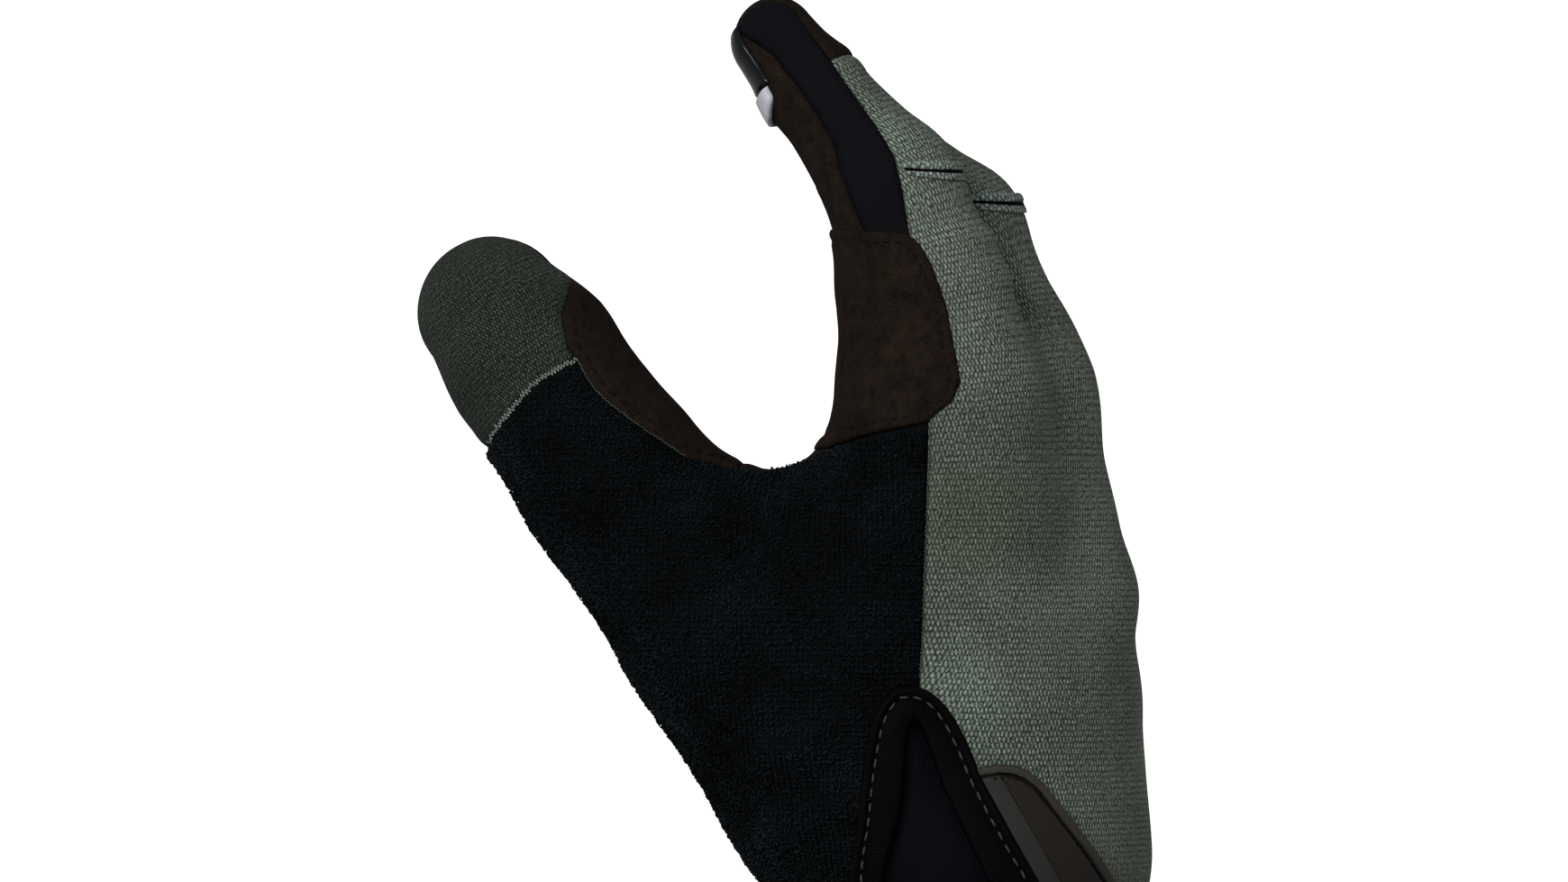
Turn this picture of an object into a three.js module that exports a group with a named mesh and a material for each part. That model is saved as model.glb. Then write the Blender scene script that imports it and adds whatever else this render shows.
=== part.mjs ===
// Cycling glove for the right hand, in the form it has when worn.
// Millimetres. +X is the thumb side, +Y the back of the hand, +Z the fingertips.
// The origin is the centre of the wrist opening.
import * as THREE from 'three';

// Driving sizes of the cloth and the seams.
const CLOTH = 1.3;
const SEAM_GAP = 0.3;
const CUFF_HEM_HEIGHT = 7;
const CUFF_HEM_RAISE = 0.2;

// Sizes of the pieces that lie on the cloth or under it.
const LAP_GAP = 0.7;
const PATCH_THICKNESS = 1.1;
const HEM_THICKNESS = 1.2;
const HEM_COVERS = 1.5;
const GUSSET_GAP = 0.45;
const GUSSET_THICKNESS = 1.2;
const GUSSET_MARGIN = 3;
const HEM_LEVEL = CUFF_HEM_RAISE + SEAM_GAP;
const TAB_THICKNESS = 1.5;
const TAB_RIM_WIDTH = 1.5;
const TAB_RIM_THICKNESS = 2.1;
const PAD_LIFT = 0.3;
const PAD_THICKNESS = 0.5;
const PAD_HALF_WIDTH = 6.6;
const PAD_LENGTH = 19.5;
const PAD_END_LENGTH = 5;
const PAD_START = 0.7;
const FOLD_WIDTH = 2;
const FOLD_HALF_SPAN = 8.6;
const FOLD_RISE = { index: 3.6, middle: 5.6, ring: 5.6, little: 5.6 };
const FOLD_THICKNESS = 1;

// Share of the finger radius, measured towards the back, between which the side strips run.
const STRIP_PALM_SIDE = -0.2;
const STRIP_BACK_SIDE = 0.5;
const STRIP_TAPER = 12;
const TIP_BAND = 0.38;

// How softly the rounded lengths of the hand run into each other.
const FINGER_BLEND = 2.5;
const CLEFT_BLEND = 1.8;
const PALM_BLEND = 9;
const KNUCKLE_BLEND = 7;
const THUMB_BLEND = 14;
const WEB_BLEND = 12;
const WEB_RADIUS = 6.5;
const FINGER_SQUEEZE = 1.18;
const WRIST_SQUEEZE = 0.66;

// Positions are given in a side view, looked at from the thumb side and turned a little to the
// back of the hand: side grows towards the back, height towards the fingertips, and across is X.
const VIEW_TURN = THREE.MathUtils.degToRad(20);
const viewSine = Math.sin(VIEW_TURN);
const viewCosine = Math.cos(VIEW_TURN);

function table(columns, rows) {
  const names = columns.split(' ');
  return rows.map((row) => Object.fromEntries(names.map((name, i) => [name, row[i]])));
}

const JOINTS = 'joint side height across radius';
const FINGERS = {
  index: table(JOINTS, [
    ['wrist', 1, 35, 13, 16.5],
    ['palm', 0, 55.5, 16, 16],
    ['knuckle', -12, 112.5, 29, 16.6],
    ['shaft', -15, 131, 30, 14.6],
    ['middle joint', -20.7, 149, 31, 11.7],
    ['end joint', -34.5, 166.5, 30.5, 8.6],
    ['tip', -41, 175, 29.5, 7.4],
  ]),
  middle: table(JOINTS, [
    ['wrist', 2.5, 35, 4, 16.5],
    ['palm', 6.4, 77, 4.7, 15.5],
    ['knuckle', -1.5, 112.5, 8, 15.4],
    ['shaft', -4.5, 123.5, 8, 13.9],
    ['middle joint', -9.5, 141.5, 8.5, 12.1],
    ['end joint', -27, 157.5, 8.5, 9.2],
    ['tip', -33.5, 163.5, 8, 7.7],
  ]),
  ring: table(JOINTS, [
    ['wrist', 3, 35, -5, 16.5],
    ['palm', 6, 77, -10.6, 15.2],
    ['knuckle', -2.5, 108, -13, 14.4],
    ['shaft', -5.5, 119, -13.5, 13],
    ['middle joint', -9.5, 132.5, -14, 11.2],
    ['end joint', -21.5, 145.5, -14.5, 8.9],
    ['tip', -27, 152, -14.5, 7.5],
  ]),
  little: table(JOINTS, [
    ['wrist', 3, 35, -13, 16],
    ['palm', 2.5, 66, -22, 15],
    ['knuckle', -4, 101.5, -31, 13.4],
    ['shaft', -6.5, 112.5, -32, 11.8],
    ['middle joint', -10.5, 123.5, -34, 10],
    ['end joint', -18, 132.5, -35, 8.2],
    ['tip', -21.5, 138, -35, 7],
  ]),
};
const KNUCKLE_ROW = 2;
const MIDDLE_JOINT_ROW = 4;
const END_JOINT_ROW = 5;

const THUMB = table(JOINTS, [
  ['wrist', -15, 20, 12, 19],
  ['root', -28.7, 44.5, 20, 21.4],
  ['ball', -48, 71.5, 31, 19.4],
  ['knuckle', -68.5, 97, 35, 16.3],
  ['end joint', -84.5, 119.5, 37, 15],
  ['tip', -91, 127.5, 36, 13.2],
]);

const WRIST = table(JOINTS, [
  ['opening', 0, -8, 0, 21.5],
  ['narrow', -0.5, 31.5, 0, 22.5],
  ['top', 0, 55.5, 0, 20],
]);

const PALM_MUSCLES = [
  table(JOINTS, [
    ['little finger root', -5, 39.5, -18, 16.5],
    ['little finger ball', -12, 84, -28, 14],
    ['little finger crease', -12, 96.5, -29, 12],
  ]),
  table(JOINTS, [
    ['thumb web top', -19, 92, 26, 14],
    ['thumb web root', -25.5, 58.5, 25, 16],
  ]),
];

const CORNERS = 'corner side height across';
const WEB = table(CORNERS, [
  ['thumb', -61, 88.5, 35],
  ['index', -21.5, 95, 30],
  ['root', -30, 52, 26],
]);

// The plane on which the palm side of the thumb and of the ball of the thumb begins.
const PALM_PLANE = table(CORNERS, [
  ['thumb', -76, 106, 27],
  ['index', -21.5, 96, 30],
  ['wrist', -35, 39.5, 14],
]);

// The cut that parts the thumb from the palm, from its knuckle towards its tip.
const THUMB_CUT = { side: -56, height: 94, sideAlong: -0.6, heightAlong: 0.8 };

// Lines on the side view. Each is walked in the order of its rows.
const POINTS = 'side height';

// Upper edge of the terry: thumb tip cloth, thumb suede, web edge and index patch.
const TERRY_TOP = table(POINTS, [
  [-95, 96],
  [-91.5, 104.5],
  [-88.5, 109],
  [-82.5, 115.5],
  [-76, 119],
  [-72.5, 113.5],
  [-66.5, 108.5],
  [-57, 102],
  [-45, 99.5],
  [-39.5, 100.5],
  [-34, 102.5],
  [-32, 103.5],
  [-24.5, 106],
  [-15, 108],
  [0, 112.5],
]);

// Edge of the back cloth from the index tip to the wrist.
const BACK_EDGE = table(POINTS, [
  [-43, 192],
  [-37.5, 180],
  [-31.5, 171.5],
  [-28, 166],
  [-24, 160.5],
  [-20.5, 154.5],
  [-19, 148],
  [-18, 141.5],
  [-15.5, 130],
  [-13.8, 119],
  [-14.6, 108],
  [-15, 87],
  [-15.5, 71.5],
  [-16, 62],
  [-16.5, -8],
]);

// Edge of the palm suede on the thumb side of the index finger.
const SUEDE_EDGE = table(POINTS, [
  [-55.5, 181],
  [-45, 174.5],
  [-42, 172.5],
  [-38, 167.5],
  [-34.5, 162.5],
  [-31.5, 157.5],
  [-30, 151.5],
  [-28, 146],
  [-26, 141.5],
  [-24, 130],
  [-22.5, 115.5],
  [-21.5, 106],
]);

// Edge between the knit tip and the suede of the thumb.
const THUMB_EDGE = table(POINTS, [
  [-73, 144.5],
  [-77, 132],
  [-78.5, 127],
  [-77.5, 121.5],
  [-76, 119],
  [-71.5, 106],
]);

// Outline of the suede patch on the index finger.
const PATCH_OUTLINE = table(POINTS, [
  [-45, 142.5],
  [-26, 141.5],
  [-18.5, 141],
  [-16, 139],
  [-14, 135.5],
  [-11.5, 128.5],
  [-10, 120.5],
  [-9, 115],
  [-10.5, 111.5],
  [-15, 108],
  [-24.5, 106],
  [-32, 103.5],
  [-45, 101],
]);

// Outline of the wrist notch.
const NOTCH_OUTLINE = table(POINTS, [
  [-17, -8],
  [-20.5, 2],
  [-24.8, 14],
  [-27.3, 27],
  [-26.3, 39.5],
  [-25.5, 47.5],
  [-24, 55.5],
  [-21.5, 60],
  [-18.5, 61.5],
  [-14.5, 60.5],
  [-11, 57],
  [-8, 51.5],
  [-5, 44.5],
  [0, 35],
  [4.5, 27],
  [8.5, 16],
  [12, 2],
  [13.5, -8],
]);

// Inner edge of the folded notch hem, one row for each row of the notch outline.
const HEM_INNER_EDGE = table(POINTS, [
  [-12.5, -6.4],
  [-16, 3.6],
  [-20.2, 15.3],
  [-22.4, 27.3],
  [-19.8, 38.8],
  [-18.9, 46.5],
  [-18.6, 52.5],
  [-18.1, 55],
  [-17.3, 56],
  [-16.4, 55.5],
  [-15.3, 53.5],
  [-13.6, 48.8],
  [-11, 42.1],
  [-6.1, 31.9],
  [-2.3, 24],
  [1.8, 14],
  [5.3, 0.6],
  [6.8, -9.4],
]);

// Outer edge of the closure tab, from the notch hem over the top and down to the hem again.
const TAB_EDGE = table(POINTS, [
  [-4.9, 47.9],
  [-2.2, 48.4],
  [0.3, 48.2],
  [2.6, 47.3],
  [5.2, 45.1],
  [9.9, 38.7],
  [14.3, 32.7],
  [17.9, 27],
  [20.3, 22],
  [20.4, 17.6],
  [17.6, 14.6],
  [13.9, 13.4],
  [10.4, 13.4],
]);
const TAB_OUTLINE = [...TAB_EDGE, ...table(POINTS, [[2, 14], [-10, 47]])];

// Sampling of the form. The lines in the clefts keep neighbouring fingers apart.
const CLEFTS = table('cleft across', [
  ['index to middle', 19.8],
  ['middle to ring', -3.1],
  ['ring to little', -24.5],
]);
const CLEFT_STEP = 1;
const ACROSS_STEP = 6;
const ACROSS_RANGE = [-52, 58];
const DEPTH_STEP = 6.4;
const DEPTH_RANGE = [-106, 34];
const HEIGHT_STEP_PALM = 9;
const HEIGHT_STEP_FINGERS = 5.2;
const HEIGHT_TOP = 190;
const FINGER_LEVEL = 100;
const SPLIT_REACH = 2;
const SLIM = 1.2;
const BAND_SPACING = 4;
const PAD_ROWS = 5;
const PAD_COLUMNS = 6;
const FOLD_ROWS = 7;
const FOLD_COLUMNS = 3;

// Vectors are plain arrays of three numbers.
function plus(a, b, scale = 1) {
  return [a[0] + b[0] * scale, a[1] + b[1] * scale, a[2] + b[2] * scale];
}

function dot(a, b) {
  return a[0] * b[0] + a[1] * b[1] + a[2] * b[2];
}

function cross(a, b) {
  return [a[1] * b[2] - a[2] * b[1], a[2] * b[0] - a[0] * b[2], a[0] * b[1] - a[1] * b[0]];
}

function unit(a) {
  const length = Math.hypot(...a) || 1;
  return [a[0] / length, a[1] / length, a[2] / length];
}

function mix(a, b, t) {
  return [a[0] + (b[0] - a[0]) * t, a[1] + (b[1] - a[1]) * t, a[2] + (b[2] - a[2]) * t];
}

function sideOf(p) {
  return p[1] * viewCosine - p[0] * viewSine;
}

function placed({ side, height, across }) {
  return [across, side / viewCosine + across * (viewSine / viewCosine), height];
}

// The hand is a set of rounded lengths, each running from joint to joint.
function lengthsOf(joints, squeeze) {
  let start = 0;
  return joints.slice(1).map((end, i) => {
    const from = placed(joints[i]);
    const step = plus(placed(end), from, -1);
    const size = Math.hypot(...step);
    const length = {
      from,
      step,
      squeeze,
      size,
      start,
      square: dot(step, step),
      radius: joints[i].radius,
      widening: end.radius - joints[i].radius,
      toBack: unit(cross(step, [1, 0, 0])),
    };
    start += size;
    return length;
  });
}

function lengthAt(p, length) {
  const away = plus(p, length.from, -1);
  const share = Math.min(Math.max(dot(away, length.step) / length.square, 0), 1);
  const off = plus(away, length.step, -share);
  const radius = length.radius + length.widening * share;
  const distance = Math.hypot(off[0] * length.squeeze, off[1], off[2]) - radius;
  return { distance, off, radius, share };
}

function blend(a, b, width) {
  const h = Math.max(width - Math.abs(a - b), 0) / width;
  return Math.min(a, b) - (h * h * width) / 4;
}

function runDistance(p, lengths, width) {
  return lengths.reduce((sum, length) => blend(sum, lengthAt(p, length).distance, width), 1e3);
}

const fingerNames = Object.keys(FINGERS);
const fingerLengths = fingerNames.map((name) => {
  const lengths = lengthsOf(FINGERS[name], FINGER_SQUEEZE);
  lengths.forEach((length, i) => {
    length.squeeze = i < KNUCKLE_ROW ? 1 : FINGER_SQUEEZE;
  });
  return lengths;
});
const thumbLengths = lengthsOf(THUMB, 1);
const palmRuns = [
  ...fingerLengths.map((lengths) => lengths.slice(0, KNUCKLE_ROW)),
  lengthsOf(WRIST, WRIST_SQUEEZE),
  ...PALM_MUSCLES.map((joints) => lengthsOf(joints, 1)),
];
const webCorners = WEB.map(placed);
const webNormal = cross(plus(webCorners[1], webCorners[0], -1), plus(webCorners[2], webCorners[0], -1));

function webDistance(p) {
  let inside = true;
  let nearest = Infinity;
  webCorners.forEach((corner, i) => {
    const edge = plus(webCorners[(i + 1) % 3], corner, -1);
    const away = plus(p, corner, -1);
    const share = Math.min(Math.max(dot(away, edge) / dot(edge, edge), 0), 1);
    nearest = Math.min(nearest, Math.hypot(...plus(away, edge, -share)));
    inside = inside && dot(away, cross(webNormal, edge)) >= 0;
  });
  const above = Math.abs(dot(plus(p, webCorners[0], -1), webNormal)) / Math.hypot(...webNormal);
  return (inside ? above : nearest) - WEB_RADIUS;
}

function handDistance(p) {
  const above = fingerLengths.map((lengths) => runDistance(p, lengths.slice(KNUCKLE_ROW), FINGER_BLEND));
  const fingers = above.reduce((sum, value) => blend(sum, value, CLEFT_BLEND), 1e3);
  const palm = palmRuns.reduce((sum, run) => blend(sum, runDistance(p, run, 3), PALM_BLEND), 1e3);
  const thumb = blend(runDistance(p, thumbLengths, 3), webDistance(p), WEB_BLEND);
  return blend(blend(fingers, palm, KNUCKLE_BLEND), thumb, THUMB_BLEND);
}

function slope(p) {
  const reach = 0.2;
  return [0, 1, 2].map((axis) => {
    const step = [0, 0, 0];
    step[axis] = reach;
    return (handDistance(plus(p, step)) - handDistance(plus(p, step, -1))) / (2 * reach);
  });
}

function settled(p, rounds) {
  let q = p;
  for (let i = 0; i < rounds; i += 1) {
    const g = slope(q);
    q = plus(q, g, -handDistance(q) / Math.max(dot(g, g), 1e-6));
  }
  return q;
}

// Where a point lies on the nearest of the four fingers.
const alongFromKnuckle = fingerLengths.map((lengths) => lengths[KNUCKLE_ROW].start);

function fingerPlace(p) {
  let best = null;
  fingerLengths.forEach((lengths, finger) => {
    lengths.forEach((length) => {
      const at = lengthAt(p, length);
      if (!best || at.distance < best.distance) best = { ...at, length, finger };
    });
  });
  const { length, finger, off, radius } = best;
  const away = plus(p, length.from, -1);
  const last = fingerLengths[finger].at(-1);
  const open = length === last ? Math.max(dot(away, length.step) / length.square, 0) : best.share;
  return {
    finger,
    distance: best.distance,
    radius,
    toBack: dot(off, length.toBack),
    toThumb: off[0],
    along: length.start + open * length.size - alongFromKnuckle[finger],
  };
}

const middleJoint = fingerLengths.map((lengths, i) => lengths[MIDDLE_JOINT_ROW].start - alongFromKnuckle[i]);
const endJoint = fingerLengths.map((lengths, i) => lengths[END_JOINT_ROW].start - alongFromKnuckle[i]);

// Signed distance to a line on the side view, positive on its left as it is walked.
function leftOf(line, side, height) {
  let nearest = Infinity;
  let sign = 1;
  for (let i = 0; i + 1 < line.length; i += 1) {
    const stepSide = line[i + 1].side - line[i].side;
    const stepHeight = line[i + 1].height - line[i].height;
    const awaySide = side - line[i].side;
    const awayHeight = height - line[i].height;
    const square = stepSide * stepSide + stepHeight * stepHeight;
    const open = (awaySide * stepSide + awayHeight * stepHeight) / square;
    const least = i === 0 ? -Infinity : 0;
    const most = i + 2 === line.length ? Infinity : 1;
    const share = Math.min(Math.max(open, least), most);
    const distance = Math.hypot(awaySide - stepSide * share, awayHeight - stepHeight * share);
    if (distance < nearest - 1e-9) {
      nearest = distance;
      sign = stepSide * awayHeight - stepHeight * awaySide >= 0 ? 1 : -1;
    }
  }
  return nearest * sign;
}

// Signed distance to a closed outline on the side view, positive inside it.
function insideOf(outline, side, height) {
  let nearest = Infinity;
  let inside = false;
  outline.forEach((a, i) => {
    const b = outline[(i + 1) % outline.length];
    const stepSide = b.side - a.side;
    const stepHeight = b.height - a.height;
    const square = stepSide * stepSide + stepHeight * stepHeight;
    const open = ((side - a.side) * stepSide + (height - a.height) * stepHeight) / square;
    const share = Math.min(Math.max(open, 0), 1);
    const offSide = side - a.side - stepSide * share;
    const offHeight = height - a.height - stepHeight * share;
    nearest = Math.min(nearest, Math.hypot(offSide, offHeight));
    const crosses = a.height > height !== b.height > height;
    if (crosses && side < a.side + (stepSide * (height - a.height)) / stepHeight) inside = !inside;
  });
  return inside ? nearest : -nearest;
}

const palmPlane = PALM_PLANE.map(placed);
const palmPlaneNormal = unit(
  cross(plus(palmPlane[2], palmPlane[0], -1), plus(palmPlane[1], palmPlane[0], -1)),
);

// How far inside each panel a point of the form lies, in millimetres.
function panelPlaces(p) {
  const side = sideOf(p);
  const height = p[2];
  const place = fingerPlace(p);
  const { finger, radius, toBack, toThumb, along } = place;
  const outward = dot(plus(p, palmPlane[0], -1), palmPlaneNormal);
  const underTop = -leftOf(TERRY_TOP, side, height);
  const onBack = leftOf(BACK_EDGE, side, height);
  const pastSuede = leftOf(SUEDE_EDGE, side, height);
  const onThumbSuede = leftOf(THUMB_EDGE, side, height);
  const thumbAlong =
    (side - THUMB_CUT.side) * THUMB_CUT.sideAlong + (height - THUMB_CUT.height) * THUMB_CUT.heightAlong;
  const nearThumb = place.distance - runDistance(p, thumbLengths, 3);
  const thumb = Math.min(thumbAlong, nearThumb);

  const taper = Math.min(Math.max(along / STRIP_TAPER, 0), 1);
  const palmLimit = toBack - STRIP_PALM_SIDE * taper * radius;
  const backLimit = toBack - STRIP_BACK_SIDE * taper * radius;
  const besideTip = Math.abs(toThumb) * FINGER_SQUEEZE - TIP_BAND * radius;
  const belowCap = endJoint[finger] - along;
  const indexSide = finger === 0 && toThumb > 0;

  let strip = Math.min(palmLimit, -backLimit, besideTip);
  let back = Math.min(backLimit, belowCap);
  if (indexSide) {
    strip = Math.min(pastSuede, -onBack, -underTop, besideTip);
    back = Math.min(onBack, belowCap);
  }
  const terry = Math.min(underTop, -onBack, outward, -back);
  const thumbBack = Math.min(outward, -underTop, -onThumbSuede, nearThumb);
  const nearSuede = Math.min(outward, -underTop, onThumbSuede, thumb);
  const thumbFront = Math.max(nearSuede, Math.min(-outward, thumb));
  const palm = Math.min(-terry, -thumbBack, -thumbFront, -back, -strip);
  const sides = fingerNames.map((_, gap) => {
    if (finger === gap && toThumb < 0) return strip;
    if (finger === gap + 1 && toThumb > 0) return strip;
    return -Math.abs(strip) - 1;
  });
  return {
    back_panel: back,
    palm_panel: palm,
    thumb_back: thumbBack,
    thumb_front: thumbFront,
    terry_panel: terry,
    index_side_strip: indexSide ? strip : -Math.abs(strip) - 1,
    fourchette_index_middle: sides[0],
    fourchette_middle_ring: sides[1],
    fourchette_ring_little: sides[2],
    little_side_strip: sides[3],
  };
}

function inNotch(p) {
  const inside = insideOf(NOTCH_OUTLINE, sideOf(p), p[2]);
  return Math.min(inside, p[0] - 5);
}

// Lines of the sampling, evenly parted between the fixed ones.
function evenly(from, to, step) {
  const count = Math.max(Math.round((to - from) / step), 1);
  return Array.from({ length: count }, (_, i) => from + ((to - from) * i) / count);
}

function acrossLines() {
  const fixed = CLEFTS.map(({ across }) => across).sort((a, b) => a - b);
  const lines = [];
  let from = ACROSS_RANGE[0];
  fixed.forEach((across) => {
    lines.push(...evenly(from, across - CLEFT_STEP, ACROSS_STEP), across - CLEFT_STEP, across);
    from = across + CLEFT_STEP;
  });
  return [...lines, ...evenly(from, ACROSS_RANGE[1], ACROSS_STEP), ACROSS_RANGE[1]];
}

const lines = [
  acrossLines(),
  [...evenly(...DEPTH_RANGE, DEPTH_STEP), DEPTH_RANGE[1]],
  [
    ...[-1.5, -0.5, 0.5].map((n) => n * CUFF_HEM_HEIGHT),
    ...evenly(1.5 * CUFF_HEM_HEIGHT, FINGER_LEVEL, HEIGHT_STEP_PALM),
    ...evenly(FINGER_LEVEL, HEIGHT_TOP, HEIGHT_STEP_FINGERS),
    HEIGHT_TOP,
  ],
];

// The second and third layer of cells hold their points level with the two edges of the cuff hem.
const HELD_LEVELS = [null, 0, CUFF_HEM_HEIGHT];

// The twelve edges of a cell, four along each axis, and the edges round each of its six faces.
const CELL_EDGES = [0, 1, 2].flatMap((axis) => [0, 1, 2, 3].map((corner) => {
  const from = [0, 0, 0];
  from[(axis + 1) % 3] = corner & 1;
  from[(axis + 2) % 3] = corner >> 1;
  const to = [...from];
  to[axis] = 1;
  return { from, to };
}));
const CELL_FACES = [0, 1, 2].flatMap((axis) => [0, 1].map((level) => {
  const round = [[0, 0], [1, 0], [1, 1], [0, 1]].map(([a, b]) => {
    const corner = [0, 0, 0];
    corner[axis] = level;
    corner[(axis + 1) % 3] = a;
    corner[(axis + 2) % 3] = b;
    return corner;
  });
  const same = (a, b) => a.every((n, i) => n === b[i]);
  const edges = round.map((corner, i) => {
    const next = round[(i + 1) % 4];
    return CELL_EDGES.findIndex(({ from, to }) =>
      (same(from, corner) && same(to, next)) || (same(from, next) && same(to, corner)));
  });
  return { round, edges };
}));

// Points in the cells that the form passes through, one for each sheet of it in a cell, joined
// across the edges that the form crosses.
function sampledForm() {
  const counts = lines.map((line) => line.length);
  const at = (i, j, k) => (i * counts[1] + j) * counts[2] + k;
  const values = new Float64Array(counts[0] * counts[1] * counts[2]);
  for (let i = 0; i < counts[0]; i += 1) {
    for (let j = 0; j < counts[1]; j += 1) {
      for (let k = 0; k < counts[2]; k += 1) {
        values[at(i, j, k)] = handDistance([lines[0][i], lines[1][j], lines[2][k]]);
      }
    }
  }
  const points = [];
  const levels = [];
  const cells = new Map();
  const cellPoints = (cell) => {
    const key = at(...cell);
    if (cells.has(key)) return cells.get(key);
    const valueAt = (corner) => values[at(...corner.map((n, i) => n + cell[i]))];
    const placeAt = (corner) => corner.map((n, i) => lines[i][n + cell[i]]);
    const sheet = CELL_EDGES.map(({ from, to }, i) => (valueAt(from) < 0 !== valueAt(to) < 0 ? i : -1));
    const join = (a, b) => {
      const old = sheet[a];
      sheet.forEach((n, i) => {
        if (n === old) sheet[i] = sheet[b];
      });
    };
    CELL_FACES.forEach(({ round, edges }) => {
      const crossed = edges.filter((edge) => sheet[edge] >= 0);
      if (crossed.length === 2) join(crossed[0], crossed[1]);
      if (crossed.length === 4) {
        round.forEach((corner, i) => {
          if (valueAt(corner) < 0) join(edges[(i + 3) % 4], edges[i]);
        });
      }
    });
    const pointOfSheet = new Map();
    const found = sheet.map((n) => {
      if (n < 0) return -1;
      if (!pointOfSheet.has(n)) {
        const members = CELL_EDGES.filter((_, i) => sheet[i] === n);
        const sum = members.reduce((total, { from, to }) => {
          const a = valueAt(from);
          return plus(total, mix(placeAt(from), placeAt(to), a / (a - valueAt(to))));
        }, [0, 0, 0]);
        pointOfSheet.set(n, points.push(sum.map((x) => x / members.length)) - 1);
        levels.push(HELD_LEVELS[cell[2]] ?? null);
      }
      return pointOfSheet.get(n);
    });
    cells.set(key, found);
    return found;
  };
  const quads = [];
  for (let axis = 0; axis < 3; axis += 1) {
    const second = (axis + 1) % 3;
    const third = (axis + 2) % 3;
    const n = [0, 0, 0];
    for (n[axis] = 0; n[axis] < counts[axis] - 1; n[axis] += 1) {
      for (n[second] = 1; n[second] < counts[second] - 1; n[second] += 1) {
        for (n[third] = 1; n[third] < counts[third] - 1; n[third] += 1) {
          const to = [...n];
          to[axis] += 1;
          const startsInside = values[at(...n)] < 0;
          if (startsInside === values[at(...to)] < 0) continue;
          const quad = [[1, 1], [0, 1], [0, 0], [1, 0]].map(([a, b]) => {
            const cell = [...n];
            cell[second] -= a;
            cell[third] -= b;
            return cellPoints(cell)[axis * 4 + a + 2 * b];
          });
          quads.push(startsInside ? quad : quad.reverse());
        }
      }
    }
  }
  return { points, quads, levels };
}

function held(p, level) {
  return level === null ? p : [p[0], p[1], level];
}

// Evens out the points along the form.
function relaxed({ points, quads, levels }, rounds) {
  let current = points.map((p) => settled(p, 2));
  for (let round = 0; round < rounds; round += 1) {
    const sums = current.map(() => [0, 0, 0]);
    const counts = current.map(() => 0);
    quads.forEach((quad) => {
      const middle = quad.reduce((sum, i) => plus(sum, current[i], 0.25), [0, 0, 0]);
      quad.forEach((i) => {
        sums[i] = plus(sums[i], middle);
        counts[i] += 1;
      });
    });
    current = current.map((p, i) => {
      const middle = mix(p, sums[i].map((n) => n / counts[i]), 0.6);
      return held(settled(held(middle, levels[i]), 1), levels[i]);
    });
  }
  return { points: current.map((p, i) => held(settled(p, 2), levels[i])), quads, levels };
}

function span(a, b) {
  return Math.hypot(...plus(a, b, -1));
}

function triangulated({ points, quads, levels }) {
  const triangles = quads.flatMap(([a, b, c, d]) =>
    span(points[a], points[c]) <= span(points[b], points[d])
      ? [[a, b, c], [a, c, d]]
      : [[a, b, d], [b, c, d]],
  );
  return { points, triangles, levels };
}

// Splits the edges near the border of a piece in two, keeping the points on the form.
function finer({ points, triangles }, measure, reach) {
  const values = points.map(measure);
  const next = [...points];
  const middles = new Map();
  const middle = (a, b) => {
    const changes = values[a] > 0 !== values[b] > 0;
    if (!changes && Math.min(Math.abs(values[a]), Math.abs(values[b])) > reach) return -1;
    const key = a < b ? `${a} ${b}` : `${b} ${a}`;
    if (!middles.has(key)) middles.set(key, next.push(settled(mix(points[a], points[b], 0.5), 2)) - 1);
    return middles.get(key);
  };
  const kept = triangles.filter((triangle) => triangle.some((i) => values[i] > -reach));
  const split = kept.flatMap((triangle) => {
    const halves = triangle.map((a, i) => middle(a, triangle[(i + 1) % 3]));
    const count = halves.filter((i) => i >= 0).length;
    if (count === 0) return [triangle];
    let turn = 0;
    if (count === 1) turn = halves.findIndex((i) => i >= 0);
    if (count === 2) turn = (halves.findIndex((i) => i < 0) + 1) % 3;
    const [a, b, c] = [0, 1, 2].map((i) => triangle[(i + turn) % 3]);
    const [ab, bc, ca] = [0, 1, 2].map((i) => halves[(i + turn) % 3]);
    if (count === 1) return [[a, ab, c], [ab, b, c]];
    if (count === 2) return [[ab, b, bc], [a, ab, bc], [a, bc, c]];
    return [[a, ab, ca], [ab, b, bc], [ca, bc, c], [ab, bc, ca]];
  });
  return { points: next, triangles: split };
}

// The part of a surface where the measure is above a limit, cut cleanly along it.
function trimmed({ points, triangles }, values, limit) {
  const next = [];
  const kept = new Map();
  const cuts = new Map();
  const keep = (i) => {
    if (!kept.has(i)) kept.set(i, next.push(points[i]) - 1);
    return kept.get(i);
  };
  const cut = (a, b) => {
    const key = a < b ? `${a} ${b}` : `${b} ${a}`;
    if (!cuts.has(key)) {
      const share = Math.min(Math.max((values[a] - limit) / (values[a] - values[b]), 0.04), 0.96);
      cuts.set(key, next.push(mix(points[a], points[b], share)) - 1);
    }
    return cuts.get(key);
  };
  const result = [];
  triangles.forEach((triangle) => {
    const corners = [];
    triangle.forEach((a, i) => {
      const b = triangle[(i + 1) % 3];
      const stays = values[a] > limit;
      if (stays) corners.push(keep(a));
      if (stays !== values[b] > limit) corners.push(cut(a, b));
    });
    for (let i = 2; i < corners.length; i += 1) result.push([corners[0], corners[i - 1], corners[i]]);
  });
  return largest({ points: next, triangles: result });
}

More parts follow.
